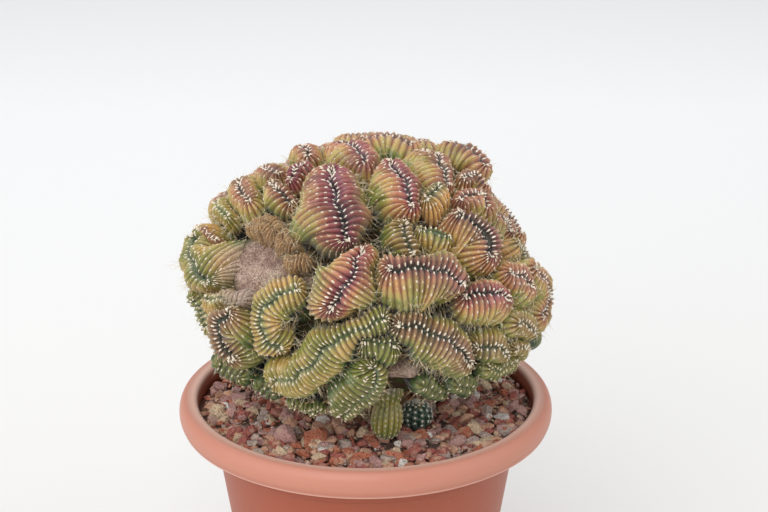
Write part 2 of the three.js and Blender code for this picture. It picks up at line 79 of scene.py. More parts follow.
def add_node(
    tree: NodeTree,
    kind: str,
    links: Links | None = None,
    out: str | int = 0,
    stops: Stops = (),
    **settings: object,
) -> NodeSocket | None:
    """Adds a node with its settings, links and colour stops.

    Args:
        tree: The node tree that it goes into.
        kind: The node's type name, without its ShaderNode.
        links: For an input's name or number, a socket to link or a value to set.
        out: The name or number of the output to return.
        stops: The positions and hex colours of a colour ramp, in order.
        **settings: The node's own settings.

    Returns:
        The wanted output, or None for a node that has no output.
    """
    node = tree.nodes.new("ShaderNode" + kind)
    for name, value in settings.items():
        setattr(node, name, value)
    for index, (position, colour) in enumerate(stops):
        elements = node.color_ramp.elements
        stop = elements[index] if index < 2 else elements.new(position)
        stop.position = position
        stop.color = linear(colour)
    for key, value in (links or {}).items():
        if isinstance(value, NodeSocket):
            tree.links.new(value, node.inputs[key])
        else:
            node.inputs[key].default_value = value
    return node.outputs[out] if node.outputs else None


def unit(vectors: Array) -> Array:
    """Scales vectors along the last axis to length 1."""
    return vectors / np.maximum(np.linalg.norm(vectors, axis=-1, keepdims=True), 1e-9)


def smooth_step(values: Array) -> Array:
    """Eases values from 0 to 1, held at both ends."""
    held = np.clip(values, 0, 1)
    return held * held * (3 - 2 * held)


def random_stream(seed: int) -> Iterator[float]:
    """Yields the repeatable numbers from 0 to 1 that place the large stones."""
    state = seed
    while True:
        state = (state * 1664525 + 1013904223) % 4294967296
        yield state / 4294967296


class Draft:
    """Points, faces and measures gathered for one piece before it becomes a mesh."""

    def __init__(self) -> None:
        """Starts an empty draft."""
        self.points: list[Array] = []
        self.faces: list[Array] = []
        self.spreads: list[Array] = []
        self.measures: dict[str, list[Array]] = {}
        self.count = 0

    def add(
        self,
        points: Array,
        faces: Sequence[Array],
        spreads: Sequence[Array] = (),
        **measures: Array | float,
    ) -> None:
        """Adds one shape.

        Args:
            points: Its points in millimetres.
            faces: Arrays of faces by point number, each of triangles or of quads.
            spreads: For each array of faces, the corners' places on the piece's own map.
            **measures: Named values, one a point or one for all.
        """
        self.points.append(points)
        for index, group in enumerate(faces):
            self.faces.append(group + self.count)
            shape = (*group.shape, 2)
            self.spreads.append(spreads[index] if spreads else np.zeros(shape))
        for name, value in measures.items():
            column = np.broadcast_to(np.asarray(value, float), (len(points),))
            self.measures.setdefault(name, []).append(column)
        self.count += len(points)

    def make(self, name: str, material: Material, smooth: bool = True) -> Object:
        """Makes the piece.

        Args:
            name: The piece's name.
            material: Its finish.
            smooth: Whether its shading is smooth.

        Returns:
            The new object, at the origin.
        """
        mesh = bpy.data.meshes.new(name)
        corners = np.concatenate([group.ravel() for group in self.faces]).astype(np.int32)
        sizes = np.concatenate([np.full(len(group), group.shape[1]) for group in self.faces])
        starts = np.concatenate([[0], np.cumsum(sizes)[:-1]]).astype(np.int32)
        mesh.vertices.add(self.count)
        mesh.vertices.foreach_set("co", (np.concatenate(self.points) * MM).astype(np.float32).ravel())
        mesh.loops.add(len(corners))
        mesh.loops.foreach_set("vertex_index", corners)
        mesh.polygons.add(len(starts))
        mesh.polygons.foreach_set("loop_start", starts)
        layer = mesh.uv_layers.new(name="ribs")
        spread = np.concatenate([group.reshape(-1, 2) for group in self.spreads])
        layer.data.foreach_set("uv", spread.astype(np.float32).ravel())
        for key, columns in self.measures.items():
            attribute = mesh.attributes.new(key, "FLOAT", "POINT")
            attribute.data.foreach_set("value", np.concatenate(columns).astype(np.float32))
        mesh.update(calc_edges=True)
        mesh.validate()
        mesh.polygons.foreach_set("use_smooth", np.full(len(mesh.polygons), smooth))
        mesh.materials.append(material)
        piece = bpy.data.objects.new(name, mesh)
        bpy.context.scene.collection.objects.link(piece)
        return piece


def bearings(latitude: Array, azimuth: Array) -> Array:
    """Finds directions by latitude and by azimuth from -Y towards +X, both in radians.

    Args:
        latitude: The rows' latitudes.
        azimuth: The columns' azimuths.

    Returns:
        One direction for each row and column.
    """
    level, high = np.cos(latitude)[:, None], np.sin(latitude)[:, None]
    return np.stack([np.sin(azimuth) * level, -np.cos(azimuth) * level, high + azimuth * 0], axis=-1)


def needle_axes(way: Array, beside: Array) -> Array:
    """Finds the own directions of needles that point a way, square to directions beside them."""
    across = unit(np.cross(way, beside))
    return np.stack([across, np.cross(way, across), way], axis=1)


def join_rows(rows: int, count: int, falling: bool = False) -> list[Array]:
    """Joins rows of points round an axis, with the two ends' pole points after them.

    Args:
        rows: How many rows there are.
        count: How many points each row has.
        falling: Whether the rows run down the body instead of up.

    Returns:
        The quads between the rows, then the triangles at the first and at the last row.
    """
    index = np.arange(rows * count).reshape(rows, count)
    following = np.roll(index, -1, axis=1)
    pole = np.full(count, index.size)
    if falling:
        quads = np.stack([index[:-1], index[1:], following[1:], following[:-1]], axis=-1)
        ends = (index[0], following[0], pole), (following[-1], index[-1], pole + 1)
    else:
        quads = np.stack([index[:-1], following[:-1], following[1:], index[1:]], axis=-1)
        ends = (following[0], index[0], pole), (index[-1], following[-1], pole + 1)
    return [quads.reshape(-1, 4), *(np.stack(end, axis=-1) for end in ends)]


def map_ribs(ribs: Array, samples: int, run: Array, falling: bool = False) -> Array:
    """Maps the quads between rows by their place in ribs and their run down the rib.

    Args:
        ribs: The columns' places in ribs.
        samples: How many columns a rib has.
        run: The points' runs down the rib, in rows and columns.
        falling: Whether the rows run down the body instead of up.

    Returns:
        The places of the quads' corners on the piece's own map.
    """
    ends, ahead = ribs + 1 / samples, np.roll(run, -1, axis=1)
    across = np.stack([ribs, ribs, ends, ends], axis=-1)[None].repeat(len(run) - 1, axis=0)
    along = np.stack([run[:-1], run[1:], ahead[1:], ahead[:-1]], axis=-1)
    spread = np.stack([across, along], axis=-1)
    return (spread if falling else spread[:, :, [0, 3, 2, 1]]).reshape(-1, 4, 2)


def rib_columns(ribs: int, samples: int) -> tuple[Array, Array]:
    """Finds the turns of columns round a small ribbed body, and their rise from -0.5 to 0.5."""
    turn = np.arange(ribs * samples) * math.tau / (ribs * samples)
    return turn, np.abs(np.sin(turn * ribs / 2)) ** RIB_ROUNDNESS - 0.5


def scatter(shape: tuple[Array, Array], places: Array, axes: Array, sizes: Array) -> tuple[Array, Array]:
    """Copies one shape to many places.

    Args:
        shape: Its points and triangles.
        places: The copies' places, one row each.
        axes: The copies' own three directions, as rows of a matrix each.
        sizes: The copies' sizes along those directions.

    Returns:
        The points and triangles of all the copies.
    """
    points, faces = shape
    turned = np.einsum("npk,nkj->npj", points[None] * sizes[:, None, :], axes)
    moved = (turned + places[:, None, :]).reshape(-1, 3)
    shifts = np.arange(len(places))[:, None, None] * len(points)
    return moved, (faces[None] + shifts).reshape(-1, faces.shape[1])


def finish_piece(piece: Object, replaced: str = "") -> None:
    """Ties a piece to the part: its body and the node that it stands for.

    Args:
        piece: The finished piece.
        replaced: The CAD node that it stands for, if it stands for one.
    """
    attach(piece, "root")
    if replaced:
        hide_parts(replaced)
    LOG.info("%s: %d faces", piece.name, len(piece.data.polygons))


# Finishes

BLEND = {"data_type": "RGBA"}
MULTIPLY = {"data_type": "RGBA", "blend_type": "MULTIPLY"}


class Finish:
    """What all finishes share: a material with one Principled shader."""

    def start(self, name: str, roughness: float, **sockets: float) -> tuple[Material, NodeTree, Node]:
        """Makes the material.

        Args:
            name: The finish's name.
            roughness: The shader's roughness.
            **sockets: Other values set on the shader, with _ for a space in the socket's name.

        Returns:
            The material, its node tree and its shader.
        """
        material = bpy.data.materials.new(name)
        material.use_nodes = True
        tree = material.node_tree
        tree.nodes.clear()
        surface = add_node(tree, "BsdfPrincipled", {"Roughness": roughness})
        for socket, value in sockets.items():
            surface.node.inputs[socket.replace("_", " ")].default_value = value
        add_node(tree, "OutputMaterial", {"Surface": surface})
        return material, tree, surface.node


@dataclass(frozen=True)
class WaxySkin(Finish):
    """Cactus skin: a waxy, slightly rough cuticle, coloured by its distance from the growing line.

    Young skin by the groove is plum and crimson, and it turns through rust and olive to green.
    """

    red_run: Stops = (
        (0.0, "#38242e"), (0.025, "#5e3348"), (0.075, "#94495c"), (0.19, "#ab565c"), (0.31, "#bf7f64"),
        (0.42, "#c4a868"), (0.6, "#b4ae64"), (0.8, "#99a054"), (1.0, "#6d7a3e"),
    )
    green_run: Stops = (
        (0.0, "#66764e"), (0.03, "#828e5c"), (0.1, "#989c50"), (0.32, "#b0ac5a"), (0.55, "#a3a64c"),
        (0.78, "#80964e"), (1.0, "#56703a"),
    )
    # Painted shade where the cheeks tuck under towards their roots, by the deep attribute.
    tuck_shade_run: Stops = ((0.0, "#ffffff"), (0.32, "#bd9a7e"), (0.65, "#4c3529"), (1.0, "#1a110c"))
    amber_run: Stops = ((0.08, "#000000"), (0.24, "#ffffff"), (0.5, "#ffffff"), (0.78, "#000000"))
    name: str = "waxy_cactus_skin"
    amber: str = "#dcaa66"
    # Painted shade in the rib valleys, easing over the flanks to none on the rib crowns.
    valley_shade: str = "#7e6468"
    flank_shade: str = "#d8cabf"
    speck: str = "#e4dfd6"
    # Painted shade: this grey-green darkens a lobe by its share of painted shade.
    shade: str = "#66785a"
    cool: str = "#d4e0c4"
    bark: str = "#bfa796"
    bark_dark: str = "#7f6a5e"
    fibre: str = "#bb9668"
    fibre_dark: str = "#5e4330"
    blotch_mm: float = 5.0
    patch_mm: float = 9.0
    grain_mm: float = 0.45
    oldest: float = 3.0
    # How much of the valleys' painted shade old skin keeps.
    old_valley_shade: float = 0.6
    crown_power: float = 1.1

    def material(self) -> Material:
        """Builds the skin's material."""
        material, tree, shader = self.start(self.name, 0.32, Specular_IOR_Level=0.6, Sheen_Weight=0.25)
        age, red, warm, dark, cork, deep = (
            add_node(tree, "Attribute", out="Fac", attribute_name=key)
            for key in ("age", "red", "warm", "dark", "cork", "deep")
        )
        place = add_node(tree, "TexCoord", out="Object")
        blotch, grain, patch = (
            add_node(tree, "TexNoise", {"Vector": place, "Scale": scale_of(size), "Detail": detail})
            for size, detail in ((self.blotch_mm, 3.0), (self.grain_mm, 2.0), (self.patch_mm, 1.0))
        )
        # Across the ribs the crown is 1 on their middles and 0 between them. The beat runs down them.
        ribs = add_node(tree, "UVMap", uv_map="ribs")
        across = add_node(tree, "SeparateXYZ", {"Vector": ribs}).node.outputs
        wave = add_node(tree, "Math", {0: across["X"], 1: math.pi}, operation="MULTIPLY")
        wave = add_node(tree, "Math", {0: wave}, operation="SINE")
        wave = add_node(tree, "Math", {0: wave}, operation="ABSOLUTE")
        crown = add_node(tree, "Math", {0: wave, 1: self.crown_power}, operation="POWER")
        beat = add_node(tree, "Math", {0: across["Y"], 1: math.tau}, operation="MULTIPLY")
        beat = add_node(tree, "Math", {0: beat}, operation="COSINE")
        # Blotches stretch the colour bands down the ribs by up to a third either way.
        stretch = add_node(tree, "Math", {0: blotch, 1: 1.8, 2: 0.1}, operation="MULTIPLY_ADD")
        aged = add_node(tree, "Math", {0: age, 1: stretch}, operation="MULTIPLY")
        held = add_node(tree, "MapRange", {"Value": aged, "From Min": 0.0, "From Max": self.oldest})
        red_skin, green_skin, window = (
            add_node(tree, "ValToRGB", {"Fac": held}, stops=run)
            for run in (self.red_run, self.green_run, self.amber_run)
        )
        # Amber comes in patches: in full where the patch noise is high, not at all where it is low.
        uneven = add_node(tree, "Math", {0: patch, 1: 4.0, 2: -1.0}, operation="MULTIPLY_ADD")
        warmth = add_node(tree, "Math", {0: warm, 1: uneven}, operation="MULTIPLY", use_clamp=True)
        glow = add_node(tree, "Math", {0: warmth, 1: window}, operation="MULTIPLY")
        # Only the driest folds, whose warmth is above a half, are brown.
        dry = add_node(tree, "MapRange", {"Value": warm, "From Min": 0.5, "From Max": 0.75})
        # Painted shade darkens the valleys between the ribs, and it pales as the skin ages.
        ageing = {"Value": held, "From Max": 1.0, "To Min": 1.0, "To Max": self.old_valley_shade}
        valley_shading = add_node(tree, "MapRange", ageing)
        tint, cool, speck, pale_bark, brown_bark, tuck_shade = (
            add_node(tree, "ValToRGB", {"Fac": share}, stops=run)
            for share, run in (
                (crown, ((0.0, self.valley_shade), (0.35, self.flank_shade), (0.8, "#ffffff"))),
                (patch, ((0.36, self.cool), (0.52, "#ffffff"))),
                (grain, ((0.3, self.speck), (0.7, "#ffffff"))),
                (grain, ((0.35, self.bark_dark), (0.65, self.bark))),
                (grain, ((0.3, self.fibre_dark), (0.62, self.fibre))),
                (deep, self.tuck_shade_run),
            )
        )
        bark = add_node(tree, "Mix", {0: dry, 6: pale_bark, 7: brown_bark}, 2, **BLEND)
        skin = green_skin
        for share, colour, mixing in (
            (red, red_skin, BLEND),
            (glow, linear(self.amber), BLEND),
            (1.0, cool, MULTIPLY),
            (1.0, speck, MULTIPLY),
            # Painted shade over the whole lobe, by its share.
            (dark, linear(self.shade), MULTIPLY),
            (cork, bark, BLEND),
            # Painted shade in the rib valleys.
            (valley_shading, tint, MULTIPLY),
            # Painted shade where the cheeks tuck under.
            (1.0, tuck_shade, MULTIPLY),
        ):
            skin = add_node(tree, "Mix", {0: share, 6: skin, 7: colour}, 2, **mixing)
        tree.links.new(skin, shader.inputs["Base Color"])
        swell = add_node(tree, "Math", {0: beat, 1: crown}, operation="MULTIPLY")
        coarse = add_node(tree, "Math", {0: cork, 1: 2.2, 2: 0.7}, operation="MULTIPLY_ADD")
        grit = add_node(tree, "Math", {0: grain, 1: coarse}, operation="MULTIPLY")
        height = add_node(tree, "Math", {0: swell, 1: 0.35, 2: grit}, operation="MULTIPLY_ADD")
        bump = add_node(tree, "Bump", {"Strength": 0.5, "Distance": 0.3 * MM, "Height": height})
        tree.links.new(bump, shader.inputs["Normal"])
        return material


@dataclass(frozen=True)
class AreoleWool(Finish):
    """Felt of the areoles: matt white hairs on the young ones, straw on the old."""

    old: str = "#bd9c68"
    young: str = "#f2ead9"
    tuft_mm: float = 0.25

    def material(self) -> Material:
        """Builds the wool's material."""
        material, tree, shader = self.start("areole_wool", 0.95, Sheen_Weight=0.3)
        place = add_node(tree, "TexCoord", out="Object")
        tuft = add_node(tree, "TexNoise", {"Vector": place, "Scale": scale_of(self.tuft_mm)})
        pale = add_node(tree, "Attribute", out="Fac", attribute_name="pale")
        mixed = add_node(tree, "Math", {0: tuft, 1: 0.3, 2: pale}, operation="MULTIPLY_ADD")
        colour = add_node(tree, "ValToRGB", {"Fac": mixed}, stops=((0.15, self.old), (1.0, self.young)))
        tree.links.new(colour, shader.inputs["Base Color"])
        bump = add_node(tree, "Bump", {"Strength": 0.6, "Distance": 0.15 * MM, "Height": tuft})
        tree.links.new(bump, shader.inputs["Normal"])
        return material


@dataclass(frozen=True)
class SpineHorn(Finish):
    """Spines: thin dry horn, straw yellow to white, with a soft gloss."""

    straw: str = "#b8965e"
    white: str = "#efe6cc"
    patch_mm: float = 3.0

    def material(self) -> Material:
        """Builds the spines' material."""
        material, tree, shader = self.start("spine_horn", 0.5, Specular_IOR_Level=0.4)
        place = add_node(tree, "TexCoord", out="Object")
        vary = add_node(tree, "TexNoise", {"Vector": place, "Scale": scale_of(self.patch_mm), "Detail": 1.0})
        colour = add_node(tree, "ValToRGB", {"Fac": vary}, stops=((0.35, self.straw), (0.6, self.white)))
        tree.links.new(colour, shader.inputs["Base Color"])
        return material


@dataclass(frozen=True)
class CorkBark(Finish):
    """Old corked skin: grey-pink and smooth in the saddle, brown and fibrous round it."""

    pale: str = "#bea694"
    smooth: str = "#a18a7d"
    pit: str = "#78665b"
    ashen: str = "#d6cccc"
    rough: str = "#b08c62"
    # deep also darkens the coarse fibre; with the green after it, it is the painted shade on the core where
    # lobes cover it.
    deep: str = "#3d2c20"
    shade_green: str = "#3e4a26"
    cloud_mm: float = 4.0
    fibre_mm: float = 0.55

    def material(self) -> Material:
        """Builds the cork's material."""
        material, tree, shader = self.start("cork_bark", 0.85, Specular_IOR_Level=0.2)
        place = add_node(tree, "TexCoord", out="Object")
        cloud, fibre = (
            add_node(tree, "TexNoise", {"Vector": place, "Scale": scale_of(size), "Detail": detail})
            for size, detail in ((self.cloud_mm, 4.0), (self.fibre_mm, 3.0))
        )
        saddle, rough = (
            add_node(tree, "Attribute", out="Fac", attribute_name=key) for key in ("cork", "rough")
        )
        speckled, tint, coarse, hidden_shade = (
            add_node(tree, "ValToRGB", {"Fac": share}, stops=run)
            for share, run in (
                (fibre, ((0.34, self.pit), (0.5, self.smooth), (0.66, self.pale))),
                (cloud, ((0.4, self.ashen), (0.6, "#ffffff"))),
                (fibre, ((0.3, self.deep), (0.65, self.rough))),
                (cloud, ((0.4, self.deep), (0.7, self.shade_green))),
            )
        )
        even = add_node(tree, "Mix", {0: 1.0, 6: speckled, 7: tint}, 2, **MULTIPLY)
        bark = add_node(tree, "Mix", {0: rough, 6: even, 7: coarse}, 2, **BLEND)
        # Painted shade: outside the bare saddle, where lobes cover the core, it is dark brown and green.
        colour = add_node(tree, "Mix", {0: saddle, 6: hidden_shade, 7: bark}, 2, **BLEND)
        tree.links.new(colour, shader.inputs["Base Color"])
        bump = add_node(tree, "Bump", {"Strength": 0.7, "Distance": 0.4 * MM, "Height": fibre})
        tree.links.new(bump, shader.inputs["Normal"])
        return material


@dataclass(frozen=True)
class CrushedLava(Finish):
    """Crushed lava and pumice: matt, porous stones, each of one colour under a little dust."""

    # The last kind is the bed's: the fines' own dark brown, deepened as painted shade between the stones.
    kinds: Stops = (
        (0.0, "#c47a60"), (0.18, "#b36c62"), (0.36, "#c39892"), (0.56, "#d9a98e"), (0.74, "#e2c8a8"),
        (0.86, "#bfaca2"), (0.95, "#f2ede6"), (0.985, "#f2ede6"), (1.0, "#71564c"),
    )
    dust: str = "#dcc3aa"
    pit: str = "#7e645a"
    pore_mm: float = 0.6
    dust_mm: float = 3.0

    def material(self) -> Material:
        """Builds the stones' material."""
        material, tree, shader = self.start("crushed_lava", 0.9, Specular_IOR_Level=0.2)
        place = add_node(tree, "TexCoord", out="Object")
        kind = add_node(tree, "Attribute", out="Fac", attribute_name="kind")
        stone = add_node(tree, "ValToRGB", {"Fac": kind}, stops=self.kinds)
        stone.node.color_ramp.interpolation = "CONSTANT"
        fine = {"Vector": place, "Scale": scale_of(self.pore_mm), "Detail": 4.0, "Roughness": 0.65}
        pores = add_node(tree, "TexNoise", fine)
        broad = {"Vector": place, "Scale": scale_of(self.dust_mm), "Detail": 3.0}
        patches = add_node(tree, "TexNoise", broad)
        pitted = add_node(tree, "ValToRGB", {"Fac": pores}, stops=((0.32, self.pit), (0.55, "#ffffff")))
        colour = add_node(tree, "Mix", {0: 0.8, 6: stone, 7: pitted}, 2, **MULTIPLY)
        powder = add_node(
            tree, "MapRange", {"Value": patches, "From Min": 0.5, "From Max": 0.75, "To Max": 0.5}
        )
        colour = add_node(tree, "Mix", {0: powder, 6: colour, 7: linear(self.dust)}, 2, **BLEND)
        tree.links.new(colour, shader.inputs["Base Color"])
        bump = add_node(tree, "Bump", {"Strength": 0.8, "Distance": 0.35 * MM, "Height": pores})
        tree.links.new(bump, shader.inputs["Normal"])
        return material


@dataclass(frozen=True)
class MouldedPlastic(Finish):
    """Injection-moulded polypropylene: satin terracotta pink with faint scuffs, and dust with a painted
    sheen on the rim. The rim's inner shoulder has a painted highlight.

    The spans of heights and radii are in metres, as the shader reads them.
    """

    body: str = "#a2533a"
    light: str = "#ac5e45"
    # The rim's pale colour is dust with a painted sheen; the shoulder's colour is a painted highlight.
    dust_and_sheen: str = "#c2826e"
    shoulder_highlight: str = "#e8bfae"
    scuff: str = "#ecc3b4"
    burr: str = "#e9b8a8"
    dust_and_sheen_heights: Pair = (0.088, 0.094)
    shoulder_highlight_radii: Pair = (0.0628, 0.0602)
    shoulder_highlight_heights: Pair = (0.098, 0.0995)
    cloud_mm: float = 18.0
    scuff_mm: float = 1.6

    def material(self) -> Material:
        """Builds the plastic's material."""
        material, tree, shader = self.start("moulded_polypropylene", 0.42, Specular_IOR_Level=0.45)
        place = add_node(tree, "TexCoord", out="Object")
        height = add_node(tree, "SeparateXYZ", {"Vector": place}, "Z")
        level, stretch = (
            add_node(tree, "Mapping", {"Vector": place, "Scale": scale})
            for scale in ((1.0, 1.0, 0.0), (1.0, 1.0, 3.5))
        )
        radius = add_node(tree, "VectorMath", {0: level}, "Value", operation="LENGTH")
        broad = {"Vector": place, "Scale": scale_of(self.cloud_mm), "Detail": 3.0}
        cloud = add_node(tree, "TexNoise", broad)
        fine = {"Vector": stretch, "Scale": scale_of(self.scuff_mm), "Detail": 5.0, "Roughness": 0.7}
        scratch = add_node(tree, "TexNoise", fine)
        # Dust and a painted sheen lie on the rim, above the neck, and not on the steep wall under it. The
        # rim's inner shoulder gets a painted highlight, and the wall under it keeps its colour.
        dust_and_sheen_share, shoulder_highlight_share, highlight_top, worn = (
            add_node(tree, "MapRange", {"Value": value, "From Min": low, "From Max": high, "To Max": most})
            for value, (low, high), most in (
                (height, self.dust_and_sheen_heights, 1.0),
                (radius, self.shoulder_highlight_radii, 0.85),
                (height, self.shoulder_highlight_heights, 1.0),
                (scratch, (0.66, 0.78), 0.7),
            )
        )
        edge = add_node(tree, "Attribute", out="Fac", attribute_name="edge")
        # The painted highlight: body colour low on the shoulder, pale at its top.
        slope = add_node(tree, "Mix", {0: highlight_top, 6: linear(self.body), 7: linear(self.shoulder_highlight)}, 2, **BLEND)
        colour = add_node(tree, "ValToRGB", {"Fac": cloud}, stops=((0.3, self.body), (0.75, self.light)))
        for share, other in (
            (dust_and_sheen_share, linear(self.dust_and_sheen)),
            (shoulder_highlight_share, slope),
            (worn, linear(self.scuff)),
            (edge, linear(self.burr)),
        ):
            colour = add_node(tree, "Mix", {0: share, 6: colour, 7: other}, 2, **BLEND)
        tree.links.new(colour, shader.inputs["Base Color"])
        gloss = add_node(tree, "MapRange", {"Value": scratch, "To Min": 0.34, "To Max": 0.56})
        tree.links.new(gloss, shader.inputs["Roughness"])
        bump = add_node(tree, "Bump", {"Strength": 0.12, "Distance": 0.1 * MM, "Height": scratch})
        tree.links.new(bump, shader.inputs["Normal"])
        return material


@dataclass(frozen=True)
class StudioSweep(Finish):
    """The pale matt floor of the studio, cool far off and warmer near the pot."""

    near: str = "#e0dfdc"
    far: str = "#f9fafc"
    depths: Pair = (-0.1, 0.7)

    def material(self) -> Material:
        """Builds the floor's material."""
        material, tree, shader = self.start("studio_sweep", 0.9, Specular_IOR_Level=0.1)
        place = add_node(tree, "TexCoord", out="Object")
        depth = add_node(tree, "SeparateXYZ", {"Vector": place}, "Y")
        span = {"Value": depth, "From Min": self.depths[0], "From Max": self.depths[1]}
        share = add_node(tree, "MapRange", span)
        colour = add_node(tree, "ValToRGB", {"Fac": share}, stops=((0.0, self.near), (1.0, self.far)))
        tree.links.new(colour, shader.inputs["Base Color"])
        return material


# The plant


@dataclass(frozen=True)
class Colouring:
    """A lobe's colouring and its ribs: lengths are in millimetres, shares go from 0 to 1.

    The young colours reach so far from the growing line. The shares are the red of the young skin,
    the amber of the cheeks and the painted shade over the whole lobe. The pitch is the ribs' on the
    shoulder.
    """

    reach: float
    red: float
    warm: float
    dark: float
    pitch: float


class Tone(Colouring, Enum):
    """The kinds of lobe."""

    # The fourth number is each kind's share of painted shade, laid over the whole lobe.
    CRIMSON = 9.5, 1.0, 0.1, 0.22, 2.2
    RED = 6.5, 0.95, 0.2, 0.0, 2.1
    ROSE = 7.0, 0.8, 0.15, 0.05, 2.1
    PLUM = 9.5, 1.0, 0.0, 0.1, 2.0
    RUST = 5.5, 0.75, 0.12, 0.0, 1.9
    FAN = 9.0, 0.8, 0.35, 0.0, 2.0
    AMBER = 8.0, 0.35, 1.0, 0.0, 2.0
    OLIVE = 6.0, 0.1, 0.4, 0.0, 1.75
    STRAW = 9.0, 0.1, 0.45, 0.0, 1.9
    DUSK = 5.0, 0.4, 0.1, 0.2, 1.9
    MAUVE = 5.5, 0.6, 0.05, 0.3, 1.9
    GREEN = 4.0, 0.05, 0.12, 0.28, 1.9
    SHADE = 3.2, 0.0, 0.0, 0.45, 2.2
    BARK = 5.0, 0.3, 0.75, 0.0, 1.25


@dataclass(frozen=True)
class Hull:
    """The smooth dome that the growing lines follow, in millimetres.

    The corked saddle's middle and its size along and across are in degrees.
    """

    semi: Place = (65.0, 62.0, 50.5)
    centre: Place = (0.0, 0.0, 140.0)
    core: Place = (50.0, 47.0, 36.0)
    lean: float = 0.3
    saddle_middle: Pair = (-37.5, 26.5)
    saddle_turn: Pair = (0.87, 0.5)
    saddle_size: Pair = (9.5, 12.0)

    def place(self, azimuth: float, latitude: float, lift: float) -> Array:
        """Finds a point by its azimuth from -Y towards +X, its latitude and its lift."""
        a, b = math.radians(azimuth), math.radians(latitude)
        way = np.array([math.sin(a) * math.cos(b), -math.cos(a) * math.cos(b), math.sin(b)])
        normal = unit(way / self.semi)
        return way * self.semi + self.centre + normal * lift

    def bearing(self, points: Array) -> tuple[Array, Array]:
        """Finds the azimuth and latitude of points, in degrees."""
        way = unit((points - self.centre) / self.semi)
        azimuth = np.degrees(np.arctan2(way[..., 0], -way[..., 1]))
        return azimuth, np.degrees(np.arcsin(np.clip(way[..., 2], -1, 1)))

    def outward(self, points: Array) -> Array:
        """Finds the dome's outward direction at points, without the lean."""
        return unit((points - self.centre) / np.square(self.semi))

    def saddle(self, points: Array, slack: float = 0.0, fade: float = 0.4) -> Array:
        """Finds how deep in the corked saddle points lie, from 0 outside to 1 within."""
        azimuth, latitude = self.bearing(points)
        right, up = azimuth - self.saddle_middle[0], latitude - self.saddle_middle[1]
        level, steep = self.saddle_turn
        along, across = right * level + up * steep, up * level - right * steep
        reach = np.hypot(along / self.saddle_size[0], across / self.saddle_size[1])
        return smooth_step((1 + slack - reach) / fade)


HULL = Hull()


@dataclass(frozen=True)
class Lobe:
    """One length of crest: its two cheeks' reach and the points along its growing line.

    A point has its azimuth and latitude on the hull in degrees and its lift in millimetres.
    """

    name: str
    first: float
    second: float
    tone: Tone
    places: tuple[Place, ...]
    corked: bool = False


